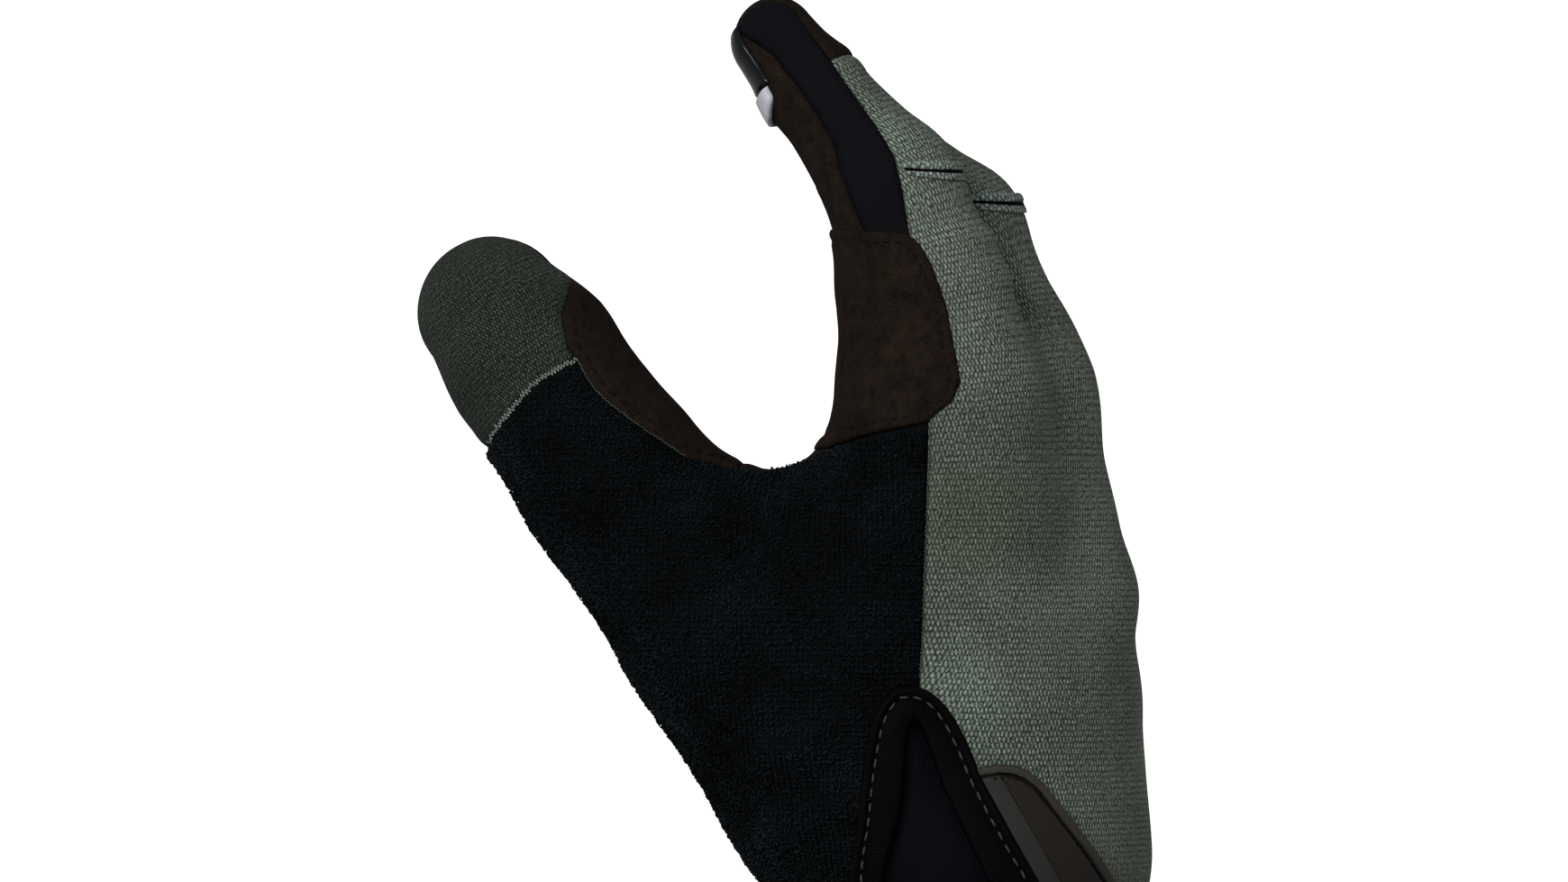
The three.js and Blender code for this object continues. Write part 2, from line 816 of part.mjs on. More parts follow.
// Drops crumbs that hang apart from the main piece.
function largest({ points, triangles }) {
  const group = points.map((_, i) => i);
  const root = (i) => {
    let n = i;
    while (group[n] !== n) n = group[n];
    return n;
  };
  triangles.forEach(([a, b, c]) => {
    group[root(a)] = root(b);
    group[root(c)] = root(b);
  });
  const counts = new Map();
  triangles.forEach(([a]) => counts.set(root(a), (counts.get(root(a)) ?? 0) + 1));
  const biggest = [...counts].sort((a, b) => b[1] - a[1])[0]?.[0];
  return { points, triangles: triangles.filter(([a]) => root(a) === biggest) };
}

// The point of the form seen at a place of the side view. The search starts at the corner of the
// sampled range that is nearest to the viewer.
function seenAt(side, height) {
  const toViewer = [viewCosine, viewSine, 0];
  const start = ACROSS_RANGE[1] * viewCosine + DEPTH_RANGE[1] * viewSine;
  let p = plus([-side * viewSine, side * viewCosine, height], toViewer, start);
  for (let i = 0; i < 40; i += 1) p = plus(p, toViewer, -0.85 * handDistance(p));
  return settled(p, 1);
}

// A sheet of rows and columns of points.
function sheet(rows, columns, pointAt) {
  const points = [];
  for (let i = 0; i < rows; i += 1) {
    for (let j = 0; j < columns; j += 1) points.push(pointAt(i, j));
  }
  const triangles = [];
  for (let i = 0; i + 1 < rows; i += 1) {
    for (let j = 0; j + 1 < columns; j += 1) {
      const first = i * columns + j;
      const corners = [first, first + 1, first + columns + 1, first + columns];
      triangles.push([corners[0], corners[1], corners[2]], [corners[0], corners[2], corners[3]]);
    }
  }
  return { points, triangles };
}

function curveThrough(line) {
  return new THREE.CatmullRomCurve3(line.map(({ side, height }) => new THREE.Vector3(side, height, 0)));
}

// A band on the form along a line of the side view, between offsets to its right.
function band(line, offsets) {
  const curve = curveThrough(line);
  const count = Math.round(curve.getLength() / BAND_SPACING);
  return sheet(count + 1, offsets.length, (i, j) => {
    const { x: side, y: height } = curve.getPointAt(i / count);
    const { x: alongSide, y: alongHeight } = curve.getTangentAt(i / count);
    return seenAt(side + alongHeight * offsets[j], height - alongSide * offsets[j]);
  });
}

// A band on the form between two lines of the side view that have the same number of rows.
function ruled(outerLine, innerLine, shares) {
  const outer = curveThrough(outerLine);
  const inner = curveThrough(innerLine);
  const count = Math.round(outer.getLength() / BAND_SPACING);
  return sheet(count + 1, shares.length, (i, j) => {
    const place = outer.getPoint(i / count).lerp(inner.getPoint(i / count), shares[j]);
    return seenAt(place.x, place.y);
  });
}

// Gives a surface its thickness, between two heights over the form.
function thickened({ points, triangles, normals: given }, inner, outer) {
  const normals = given ?? points.map((p) => unit(slope(p)));
  const top = points.map((p, i) => plus(p, normals[i], outer));
  const bottom = points.map((p, i) => plus(p, normals[i], inner));
  const positions = [];
  const directions = [];
  const face = (corners, facing) => {
    corners.forEach((corner) => positions.push(...corner));
    facing.forEach((direction) => directions.push(...direction));
  };
  const edges = new Set(triangles.flatMap(([a, b, c]) => [`${a} ${b}`, `${b} ${c}`, `${c} ${a}`]));
  triangles.forEach((triangle) => {
    const back = [...triangle].reverse();
    face(triangle.map((i) => top[i]), triangle.map((i) => normals[i]));
    face(back.map((i) => bottom[i]), back.map((i) => normals[i].map((n) => -n)));
    triangle.forEach((a, i) => {
      const b = triangle[(i + 1) % 3];
      if (edges.has(`${b} ${a}`)) return;
      const outward = unit(cross(plus(top[b], top[a], -1), normals[a]));
      const facing = [outward, outward, outward];
      // The side wall is split along the diagonal that lies further in.
      if (dot(plus(top[b], bottom[a]), outward) <= dot(plus(top[a], bottom[b]), outward)) {
        face([top[b], top[a], bottom[a]], facing);
        face([top[b], bottom[a], bottom[b]], facing);
      } else {
        face([top[a], bottom[a], bottom[b]], facing);
        face([top[a], bottom[b], top[b]], facing);
      }
    });
  });
  const geometry = new THREE.BufferGeometry();
  geometry.setAttribute('position', new THREE.Float32BufferAttribute(positions, 3));
  geometry.setAttribute('normal', new THREE.Float32BufferAttribute(directions, 3));
  return geometry;
}

// Colours and shine of the cloths.
const COATS = {
  knit: { color: '#4c5449', roughness: 0.85 },
  suede: { color: '#2a221b', roughness: 0.95 },
  terry: { color: '#10151a', roughness: 1 },
  stretch: { color: '#19181d', roughness: 0.7 },
  rubber: { color: '#24211e', roughness: 0.6 },
  rim: { color: '#332f2d', roughness: 0.55 },
  gloss: { color: '#0c0c0e', roughness: 0.2 },
  pale: { color: '#a9aab0', roughness: 0.35 },
};
const materials = Object.fromEntries(
  Object.entries(COATS).map(([name, look]) => [name, new THREE.MeshStandardMaterial(look)]),
);

const glove = new THREE.Group();
glove.name = 'cycling_glove';

function add(name, coat, surface, inner, outer) {
  const mesh = new THREE.Mesh(thickened(surface, inner, outer), materials[coat]);
  mesh.name = name;
  glove.add(mesh);
}

function laid(name, coat, { measure, splits, inner, outer }) {
  let surface = form;
  for (let i = 0; i < splits; i += 1) surface = finer(surface, measure, SPLIT_REACH / 2 ** i);
  add(name, coat, trimmed(surface, surface.points.map(measure), 0), inner, outer);
}

const form = triangulated(relaxed(sampledForm(), 3));

// The sewn panels. They share the form and part along their seams.
const PANEL_COATS = {
  back_panel: 'knit',
  palm_panel: 'suede',
  thumb_back: 'knit',
  thumb_front: 'suede',
  terry_panel: 'terry',
  index_side_strip: 'stretch',
  fourchette_index_middle: 'stretch',
  fourchette_middle_ring: 'stretch',
  fourchette_ring_little: 'stretch',
  little_side_strip: 'stretch',
};

// How far inside each panel, the hem or an opening a point lies.
function zonePlaces(p) {
  const open = inNotch(p) - HEM_COVERS;
  const aboveHem = p[2] - CUFF_HEM_HEIGHT;
  const zones = Object.entries(panelPlaces(p)).map(([name, value]) =>
    [name, Math.min(value, -open, aboveHem)]);
  return new Map([
    ...zones,
    ['cuff_hem', Math.min(p[2], -aboveHem, -open)],
    ['opening', Math.max(-p[2], open)],
  ]);
}

function zoneOf(zones) {
  return [...zones].reduce((best, zone) => (zone[1] > best[1] ? zone : best))[0];
}

function facingOf([a, b, c]) {
  return cross(plus(b, a, -1), plus(c, a, -1));
}

function slimness(corners) {
  const longest = Math.max(...corners.map((p, i) => span(p, corners[(i + 1) % 3])));
  return Math.hypot(...facingOf(corners)) / longest;
}

// Turns the shared edge of two triangles where that makes them less slim.
function turned(points, triangles) {
  let current = triangles;
  for (let round = 0; round < 8; round += 1) {
    const owner = new Map();
    current.forEach((triangle, n) => triangle.forEach((a, i) => {
      owner.set(`${a} ${triangle[(i + 1) % 3]}`, n);
    }));
    const next = [...current];
    const busy = new Set();
    current.forEach((triangle, n) => triangle.forEach((a, i) => {
      const b = triangle[(i + 1) % 3];
      const c = triangle[(i + 2) % 3];
      const other = owner.get(`${b} ${a}`);
      if (other === undefined) return;
      const d = current[other].find((x) => x !== a && x !== b);
      const near = [...triangle, d].some((x) => busy.has(x));
      if (near || owner.has(`${c} ${d}`) || owner.has(`${d} ${c}`)) return;
      const at = (corners) => corners.map((x) => points[x]);
      const before = [at(triangle), at(current[other])];
      const after = [at([a, d, c]), at([d, b, c])];
      const slim = Math.min(...before.map(slimness));
      if (slim > SLIM || Math.min(...after.map(slimness)) < slim * 1.3) return;
      const facing = plus(unit(facingOf(before[0])), unit(facingOf(before[1])));
      if (after.some((corners) => dot(unit(facingOf(corners)), facing) < 0.8)) return;
      next[n] = [a, d, c];
      next[other] = [d, b, c];
      [a, b, c, d].forEach((x) => busy.add(x));
    }));
    current = next;
  }
  return current;
}

// Draws the points next to a seam onto it, so that the seams run along edges of the form. Points
// that are held level move along their own level only.
function seamed({ points, triangles, levels }) {
  const zones = points.map(zonePlaces);
  const names = zones.map(zoneOf);
  const moves = new Map();
  triangles.flatMap(([a, b, c]) => [[a, b], [b, c], [c, a]]).forEach(([a, b]) => {
    if (names[a] === names[b]) return;
    const lead = (i) => zones[i].get(names[a]) - zones[i].get(names[b]);
    const share = lead(a) / (lead(a) - lead(b));
    const mover = share < 0.5 ? a : b;
    if (levels[mover] !== null && levels[a] !== levels[b]) return;
    const travel = span(points[a], points[b]) * Math.min(share, 1 - share);
    if (travel >= (moves.get(mover)?.travel ?? Infinity)) return;
    moves.set(mover, { travel, to: mix(points[a], points[b], share) });
  });
  const moved = points.map((p, i) =>
    (moves.has(i) ? held(settled(moves.get(i).to, 2), levels[i]) : p));
  const joined = turned(moved, triangles);
  const middleOf = (triangle) => triangle.reduce((sum, i) => plus(sum, moved[i], 1 / 3), [0, 0, 0]);
  const zonesOf = joined.map((triangle) => zoneOf(zonePlaces(middleOf(triangle))));
  return { points: moved, triangles: joined, zones: zonesOf };
}

// Gives each crumb of a zone that lies apart from its main piece to the zone around it.
function gathered(surface) {
  const { points, triangles } = surface;
  let { zones } = surface;
  for (let round = 0; round < 6; round += 1) {
    const acrossEdge = new Map();
    triangles.forEach((triangle, n) => triangle.forEach((a, i) => {
      acrossEdge.set(`${triangle[(i + 1) % 3]} ${a}`, n);
    }));
    const neighbours = triangles.map((triangle) => triangle
      .map((a, i) => acrossEdge.get(`${a} ${triangle[(i + 1) % 3]}`))
      .filter((n) => n !== undefined));
    const group = triangles.map(() => -1);
    const sizes = [];
    triangles.forEach((_, start) => {
      if (group[start] >= 0) return;
      const queue = [start];
      group[start] = sizes.length;
      for (let i = 0; i < queue.length; i += 1) {
        neighbours[queue[i]].forEach((n) => {
          if (group[n] >= 0 || zones[n] !== zones[start]) return;
          group[n] = sizes.length;
          queue.push(n);
        });
      }
      sizes.push(queue.length);
    });
    const biggest = new Map();
    group.forEach((g, n) => biggest.set(zones[n], Math.max(biggest.get(zones[n]) ?? 0, sizes[g])));
    zones = zones.map((zone, n) => {
      if (sizes[group[n]] === biggest.get(zone)) return zone;
      const outside = neighbours[n].find((m) => zones[m] !== zone);
      return outside === undefined ? zone : zones[outside];
    });
  }
  return { points, triangles, zones };
}

// One zone of the form, drawn in from its seams by half of the gap.
function panelOf({ points, triangles, zones, normals }, name) {
  const own = triangles.filter((_, i) => zones[i] === name);
  const partner = new Map();
  own.forEach((triangle, n) => triangle.forEach((a, i) => {
    partner.set(`${a} ${triangle[(i + 1) % 3]}`, n);
  }));
  // Each fan of triangles round a point gets its own copy of the point.
  const next = [];
  const facings = [];
  const renamed = own.map(() => [-1, -1, -1]);
  own.forEach((triangle, n) => triangle.forEach((a, corner) => {
    if (renamed[n][corner] >= 0) return;
    const copy = next.push(points[a]) - 1;
    facings.push(normals[a]);
    const queue = [n];
    renamed[n][corner] = copy;
    for (let q = 0; q < queue.length; q += 1) {
      const at = own[queue[q]];
      const i = at.indexOf(a);
      [`${at[(i + 1) % 3]} ${a}`, `${a} ${at[(i + 2) % 3]}`].forEach((key) => {
        const other = partner.get(key);
        if (other === undefined) return;
        const place = own[other].indexOf(a);
        if (renamed[other][place] >= 0) return;
        renamed[other][place] = copy;
        queue.push(other);
      });
    }
  }));
  const edges = new Set(renamed.flatMap(([a, b, c]) => [`${a} ${b}`, `${b} ${c}`, `${c} ${a}`]));
  const inward = next.map(() => []);
  renamed.forEach((triangle) => triangle.forEach((a, i) => {
    const b = triangle[(i + 1) % 3];
    if (edges.has(`${b} ${a}`)) return;
    const normal = unit(plus(facings[a], facings[b]));
    const direction = unit(cross(normal, plus(next[b], next[a], -1)));
    inward[a].push(direction);
    inward[b].push(direction);
  }));
  const drawn = next.map((p, i) => {
    if (inward[i].length < 2) return p;
    const sum = unit(plus(inward[i][0], inward[i][1]));
    const spread = Math.max(dot(sum, inward[i][0]), 0.5);
    return plus(p, sum, SEAM_GAP / 2 / spread);
  });
  return { points: drawn, triangles: renamed, normals: facings };
}

const sewn = gathered(seamed(form));
sewn.normals = sewn.points.map((p) => unit(slope(p)));
Object.entries(PANEL_COATS).forEach(([name, coat]) => add(name, coat, panelOf(sewn, name), -CLOTH, 0));
add('cuff_hem', 'stretch', panelOf(sewn, 'cuff_hem'), -CLOTH, CUFF_HEM_RAISE);

// The wrist notch: its gusset lies under the cloth, its folded hem over the edge.
laid('notch_gusset', 'stretch', {
  measure: (p) => Math.min(inNotch(p) + GUSSET_MARGIN, p[2] - SEAM_GAP / 2),
  splits: 0,
  inner: -CLOTH - GUSSET_GAP - GUSSET_THICKNESS,
  outer: -CLOTH - GUSSET_GAP,
});
const hemBand = ruled(NOTCH_OUTLINE, HEM_INNER_EDGE, [0, 0.5, 1]);
const hemSurface = trimmed(hemBand, hemBand.points.map((p) => p[2]), SEAM_GAP / 2);
add('notch_hem', 'stretch', hemSurface, HEM_LEVEL, HEM_LEVEL + HEM_THICKNESS);

// The suede patch wraps from the side of the index finger to its palm side.
laid('index_side_patch', 'suede', {
  measure: (p) => Math.min(
    insideOf(PATCH_OUTLINE, sideOf(p), p[2]),
    p[0] - placed(FINGERS.index[KNUCKLE_ROW])[0] + 2,
  ),
  splits: 1,
  inner: LAP_GAP,
  outer: LAP_GAP + PATCH_THICKNESS,
});

// The closure tab comes out beside the notch hem. A raised rim runs along its free edge.
function onTab(p) {
  const field = insideOf(TAB_OUTLINE, sideOf(p), p[2]) - TAB_RIM_WIDTH - SEAM_GAP;
  return Math.min(field, -inNotch(p) - SEAM_GAP, p[0] + 14);
}
add('closure_tab_rim', 'rim', band(TAB_EDGE, [0, TAB_RIM_WIDTH]), HEM_LEVEL, HEM_LEVEL + TAB_RIM_THICKNESS);
laid('closure_tab', 'rubber', {
  measure: onTab,
  splits: 1,
  inner: HEM_LEVEL,
  outer: HEM_LEVEL + TAB_THICKNESS,
});

// The glossy pad under the tip of the index finger and its pale lower end. The sheet runs over the
// last length of the finger, from its tip end towards the end joint.
function padSheet(from, to) {
  const last = fingerLengths[0].at(-1);
  const down = unit(last.step).map((n) => -n);
  const tip = plus(last.from, last.step, PAD_START);
  const widest = Math.asin((FINGER_SQUEEZE * PAD_HALF_WIDTH) / last.radius);
  return sheet(PAD_ROWS, PAD_COLUMNS, (i, j) => {
    const along = from + ((to - from) * i) / (PAD_ROWS - 1);
    const turn = widest * (1 - (2 * j) / (PAD_COLUMNS - 1));
    const beside = (last.radius * Math.sin(turn)) / FINGER_SQUEEZE;
    const under = last.radius * Math.cos(turn);
    const start = plus(plus(tip, down, along), last.toBack, -under);
    return settled(plus(start, [beside, 0, 0]), 4);
  });
}
const padSplit = PAD_LENGTH - PAD_END_LENGTH;
const padTop = PAD_LIFT + PAD_THICKNESS;
add('fingertip_pad', 'gloss', padSheet(0, padSplit), PAD_LIFT, padTop);
add('fingertip_pad_end', 'pale', padSheet(padSplit + SEAM_GAP, PAD_LENGTH), PAD_LIFT, padTop);

// Raised folds at the flex slots of the finger backs. Each lies level, above the middle joint.
fingerNames.forEach((name, finger) => {
  const [before, after] = fingerLengths[finger].slice(MIDDLE_JOINT_ROW - 1);
  const forward = unit(plus(unit(before.step), unit(after.step)));
  const toBack = unit(plus(before.toBack, after.toBack));
  const halfSpan = (FOLD_HALF_SPAN * after.radius) / FINGERS.index[MIDDLE_JOINT_ROW].radius;
  const surface = sheet(FOLD_ROWS, FOLD_COLUMNS, (i, j) => {
    const beside = halfSpan * ((2 * i) / (FOLD_ROWS - 1) - 1);
    const rise = FOLD_RISE[name] + FOLD_WIDTH * (j / (FOLD_COLUMNS - 1) - 0.5);
    const over = Math.sqrt(after.radius ** 2 - (FINGER_SQUEEZE * beside) ** 2);
    const along = (rise - toBack[2] * over) / forward[2];
    const start = plus(plus(after.from, forward, along), toBack, over);
    return settled(plus(start, [beside, 0, 0]), 4);
  });
  add(`knuckle_fold_${name}`, 'knit', surface, LAP_GAP, LAP_GAP + FOLD_THICKNESS);
});

export default glove;
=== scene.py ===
import math

import bmesh
import bpy
import numpy as np
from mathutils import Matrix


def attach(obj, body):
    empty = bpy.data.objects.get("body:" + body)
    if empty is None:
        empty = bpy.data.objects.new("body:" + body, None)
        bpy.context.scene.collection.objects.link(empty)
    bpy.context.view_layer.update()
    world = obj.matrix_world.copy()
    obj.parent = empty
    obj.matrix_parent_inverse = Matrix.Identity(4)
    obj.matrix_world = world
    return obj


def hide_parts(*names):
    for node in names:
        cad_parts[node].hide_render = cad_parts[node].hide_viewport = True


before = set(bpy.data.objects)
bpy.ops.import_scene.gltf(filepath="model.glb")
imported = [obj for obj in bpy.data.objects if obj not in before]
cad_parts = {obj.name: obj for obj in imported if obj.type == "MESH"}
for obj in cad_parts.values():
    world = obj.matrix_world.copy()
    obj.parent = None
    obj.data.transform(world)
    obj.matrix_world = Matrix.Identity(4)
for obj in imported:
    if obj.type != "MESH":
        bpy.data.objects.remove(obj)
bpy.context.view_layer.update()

MM = 0.001
rng = np.random.default_rng(7)

# Sizes shared with the solids.
CLOTH = 1.3
HEM_LEVEL = 0.5
CUFF_HEM_HEIGHT = 7.0
STRIP_PALM_SIDE = -0.2
STRIP_BACK_SIDE = 0.5
STRIP_TAPER = 12.0
TIP_BAND = 0.38
FINGER_BLEND = 2.5
CLEFT_BLEND = 1.8
PALM_BLEND = 9.0
KNUCKLE_BLEND = 7.0
THUMB_BLEND = 14.0
WEB_BLEND = 12.0
WEB_RADIUS = 6.5
FINGER_SQUEEZE = 1.18
WRIST_SQUEEZE = 0.66

# The side view that places are given in: side grows to the back, height to the fingertips.
VIEW_TURN = math.radians(20)
SINE = math.sin(VIEW_TURN)
COSINE = math.cos(VIEW_TURN)
TO_VIEWER = np.array([COSINE, SINE, 0.0])
RIGHT = np.array([-SINE, COSINE, 0])
UP = np.array([0, 0, 1.0])
ACROSS = np.array([1.0, 0, 0])
TURN = 2 * math.pi

# Joints of the hand: side, height, across, radius.
FINGERS = {
    "index": [
        (1, 35, 13, 16.5), (0, 55.5, 16, 16), (-12, 112.5, 29, 16.6), (-15, 131, 30, 14.6),
        (-20.7, 149, 31, 11.7), (-34.5, 166.5, 30.5, 8.6), (-41, 175, 29.5, 7.4),
    ],
    "middle": [
        (2.5, 35, 4, 16.5), (6.4, 77, 4.7, 15.5), (-1.5, 112.5, 8, 15.4), (-4.5, 123.5, 8, 13.9),
        (-9.5, 141.5, 8.5, 12.1), (-27, 157.5, 8.5, 9.2), (-33.5, 163.5, 8, 7.7),
    ],
    "ring": [
        (3, 35, -5, 16.5), (6, 77, -10.6, 15.2), (-2.5, 108, -13, 14.4), (-5.5, 119, -13.5, 13),
        (-9.5, 132.5, -14, 11.2), (-21.5, 145.5, -14.5, 8.9), (-27, 152, -14.5, 7.5),
    ],
    "little": [
        (3, 35, -13, 16), (2.5, 66, -22, 15), (-4, 101.5, -31, 13.4), (-6.5, 112.5, -32, 11.8),
        (-10.5, 123.5, -34, 10), (-18, 132.5, -35, 8.2), (-21.5, 138, -35, 7),
    ],
}
KNUCKLE = 2
MIDDLE_JOINT = 4
END_JOINT = 5
THUMB = [
    (-15, 20, 12, 19), (-28.7, 44.5, 20, 21.4), (-48, 71.5, 31, 19.4), (-68.5, 97, 35, 16.3),
    (-84.5, 119.5, 37, 15), (-91, 127.5, 36, 13.2),
]
WRIST = [(0, -8, 0, 21.5), (-0.5, 31.5, 0, 22.5), (0, 55.5, 0, 20)]
PALM_MUSCLES = [
    [(-5, 39.5, -18, 16.5), (-12, 84, -28, 14), (-12, 96.5, -29, 12)],
    [(-19, 92, 26, 14), (-25.5, 58.5, 25, 16)],
]

# Corners: side, height, across.
WEB = [(-61, 88.5, 35), (-21.5, 95, 30), (-30, 52, 26)]
PALM_PLANE = [(-76, 106, 27), (-21.5, 96, 30), (-35, 39.5, 14)]
THUMB_CUT = (-56, 94, -0.6, 0.8)

# Lines on the side view: side, height.
TERRY_TOP = [
    (-95, 96), (-91.5, 104.5), (-88.5, 109), (-82.5, 115.5), (-76, 119), (-72.5, 113.5),
    (-66.5, 108.5), (-57, 102), (-45, 99.5), (-39.5, 100.5), (-34, 102.5), (-32, 103.5),
    (-24.5, 106), (-15, 108), (0, 112.5),
]
BACK_EDGE = [
    (-43, 192), (-37.5, 180), (-31.5, 171.5), (-28, 166), (-24, 160.5), (-20.5, 154.5),
    (-19, 148), (-18, 141.5), (-15.5, 130), (-13.8, 119), (-14.6, 108), (-15, 87),
    (-15.5, 71.5), (-16, 62), (-16.5, -8),
]
SUEDE_EDGE = [
    (-55.5, 181), (-45, 174.5), (-42, 172.5), (-38, 167.5), (-34.5, 162.5), (-31.5, 157.5),
    (-30, 151.5), (-28, 146), (-26, 141.5), (-24, 130), (-22.5, 115.5), (-21.5, 106),
]
THUMB_EDGE = [(-73, 144.5), (-77, 132), (-78.5, 127), (-77.5, 121.5), (-76, 119), (-71.5, 106)]
PATCH_OUTLINE = [
    (-45, 142.5), (-26, 141.5), (-18.5, 141), (-16, 139), (-14, 135.5), (-11.5, 128.5),
    (-10, 120.5), (-9, 115), (-10.5, 111.5), (-15, 108), (-24.5, 106), (-32, 103.5), (-45, 101),
]
NOTCH_FAR_SIDE = 5
NOTCH_OUTLINE = [
    (-17, -8), (-20.5, 2), (-24.8, 14), (-27.3, 27), (-26.3, 39.5), (-25.5, 47.5), (-24, 55.5),
    (-21.5, 60), (-18.5, 61.5), (-14.5, 60.5), (-11, 57), (-8, 51.5), (-5, 44.5), (0, 35),
    (4.5, 27), (8.5, 16), (12, 2), (13.5, -8),
]
HEM_INNER_EDGE = [
    (-12.5, -6.4), (-16, 3.6), (-20.2, 15.3), (-22.4, 27.3), (-19.8, 38.8), (-18.9, 46.5),
    (-18.6, 52.5), (-18.1, 55), (-17.3, 56), (-16.4, 55.5), (-15.3, 53.5), (-13.6, 48.8),
    (-11, 42.1), (-6.1, 31.9), (-2.3, 24), (1.8, 14), (5.3, 0.6), (6.8, -9.4),
]
TAB_EDGE = [
    (-4.9, 47.9), (-2.2, 48.4), (0.3, 48.2), (2.6, 47.3), (5.2, 45.1), (9.9, 38.7),
    (14.3, 32.7), (17.9, 27), (20.3, 22), (20.4, 17.6), (17.6, 14.6), (13.9, 13.4), (10.4, 13.4),
]
TAB_OUTLINE = [*TAB_EDGE, (2, 14), (-10, 47)]
FOLD_HALF_SPAN = 8.6
FOLD_RISE = {"index": 3.6, "middle": 5.6, "ring": 5.6, "little": 5.6}


def unit(vectors):
    return vectors / np.maximum(np.linalg.norm(vectors, axis=-1, keepdims=True), 1e-12)


def ramp(values, width=1):
    """Values over a width, held between nought and one."""
    return np.clip(values / width, 0, 1)


def least(*values):
    """The smallest of several values at each point."""
    return np.min(values, axis=0)


def placed(rows):
    """Side, height and across as points: X is across, Z is height, Y follows from the side."""
    side, height, across = np.asarray(rows, float)[:, :3].T
    return np.stack([across, side / COSINE + across * SINE / COSINE, height], 1)


def side_of(points):
    return points[:, 1] * COSINE - points[:, 0] * SINE


def on_view(points):
    """Side and height of points, in two columns."""
    return np.stack([side_of(points), points[:, 2]], 1)


def off_length(away, step, low=0, high=1):
    """How far places are from a straight length. They are given from its start; the low and high
    shares tell where the length ends."""
    share = np.clip(away @ step / (step @ step), low, high)
    return np.linalg.norm(away - share[:, None] * step, axis=1)


def blend(a, b, width):
    """The smaller of two distances, rounded off where they are less than a width apart."""
    h = np.maximum(width - np.abs(a - b), 0) / width
    return np.minimum(a, b) - h * h * width / 4


class Run:
    """Rounded lengths from joint to joint: a cone with round ends between each two."""

    def __init__(self, rows, squeeze=1.0):
        self.centres = placed(rows)
        self.radii = np.asarray(rows, float)[:, 3]
        self.steps = np.diff(self.centres, axis=0)
        self.sizes = np.linalg.norm(self.steps, axis=1)
        self.starts = np.cumsum(self.sizes) - self.sizes
        self.backs = unit(np.cross(self.steps, ACROSS))
        self.squeeze = squeeze

    def at(self, points, n, squeeze=None):
        """Distance, way off the centre line, radius and open share along length n."""
        squeeze = self.squeeze if squeeze is None else squeeze
        away = points - self.centres[n]
        share = away @ self.steps[n] / self.sizes[n] ** 2
        held = ramp(share)
        off = away - held[:, None] * self.steps[n]
        radius = self.radii[n] + (self.radii[n + 1] - self.radii[n]) * held
        flat = (off[:, 0] * squeeze) ** 2 + off[:, 1] ** 2 + off[:, 2] ** 2
        return np.sqrt(flat) - radius, off, radius, share

    def distance(self, points, width, first=0, last=None, squeeze=None):
        found = [self.at(points, n, squeeze)[0] for n in range(len(self.steps))[first:last]]
        total = found[0]
        for value in found[1:]:
            total = blend(total, value, width)
        return total


finger_runs = [Run(rows, FINGER_SQUEEZE) for rows in FINGERS.values()]
thumb_run = Run(THUMB)
wrist_run = Run(WRIST, WRIST_SQUEEZE)
muscle_runs = [Run(rows) for rows in PALM_MUSCLES]
web_corners = placed(WEB)
web_normal = np.cross(web_corners[1] - web_corners[0], web_corners[2] - web_corners[0])


def web_distance(points):
    """Distance to the rounded triangle between thumb and index finger."""
    inside = np.ones(len(points), bool)
    nearest = np.full(len(points), np.inf)
    for n in range(3):
        edge = web_corners[(n + 1) % 3] - web_corners[n]
        away = points - web_corners[n]
        nearest = np.minimum(nearest, off_length(away, edge))
        inside &= away @ np.cross(web_normal, edge) >= 0
    above = np.abs((points - web_corners[0]) @ unit(web_normal))
    return np.where(inside, above, nearest) - WEB_RADIUS


def hand_distance(points):
    """Distance to the hand: fingers, palm and thumb blended into each other."""
    fingers = finger_runs[0].distance(points, FINGER_BLEND, first=KNUCKLE)
    for run in finger_runs[1:]:
        fingers = blend(fingers, run.distance(points, FINGER_BLEND, first=KNUCKLE), CLEFT_BLEND)
    parts = [run.distance(points, 3, last=KNUCKLE, squeeze=1.0) for run in finger_runs]
    parts += [run.distance(points, 3) for run in [wrist_run, *muscle_runs]]
    palm = parts[0]
    for part in parts[1:]:
        palm = blend(palm, part, PALM_BLEND)
    thumb = blend(thumb_run.distance(points, 3), web_distance(points), WEB_BLEND)
    return blend(blend(fingers, palm, KNUCKLE_BLEND), thumb, THUMB_BLEND)


def slope(points):
    """The change of the hand distance along each axis, from both sides of the point."""
    reach = 0.2
    steps = np.eye(3) * reach
    sides = [hand_distance(points + step) - hand_distance(points - step) for step in steps]
    return np.stack(sides, 1) / (2 * reach)


def settled(points, rounds=2):
    """Points drawn straight onto the form of the hand."""
    for _ in range(rounds):
        g = slope(points)
        step = hand_distance(points) / np.maximum((g * g).sum(1), 1e-6)
        points = points - g * step[:, None]
    return points


def finger_place(points):
    """The nearest finger of each point and where the point lies on it."""
    best = np.full(len(points), np.inf)
    names = ["finger", "radius", "back", "thumbwards", "along"]
    place = {name: np.zeros(len(points)) for name in names}
    for finger, run in enumerate(finger_runs):
        for n in range(len(run.steps)):
            squeeze = 1.0 if n < KNUCKLE else None
            distance, off, radius, share = run.at(points, n, squeeze)
            most = np.inf if n == len(run.steps) - 1 else 1
            along = run.starts[n] + np.clip(share, 0, most) * run.sizes[n] - run.starts[KNUCKLE]
            near = distance < best
            found = [np.full(len(points), finger), radius, off @ run.backs[n], off[:, 0], along]
            for name, value in zip(names, found):
                place[name] = np.where(near, value, place[name])
            best = np.where(near, distance, best)
    place["distance"] = best
    place["finger"] = place["finger"].astype(int)
    return place


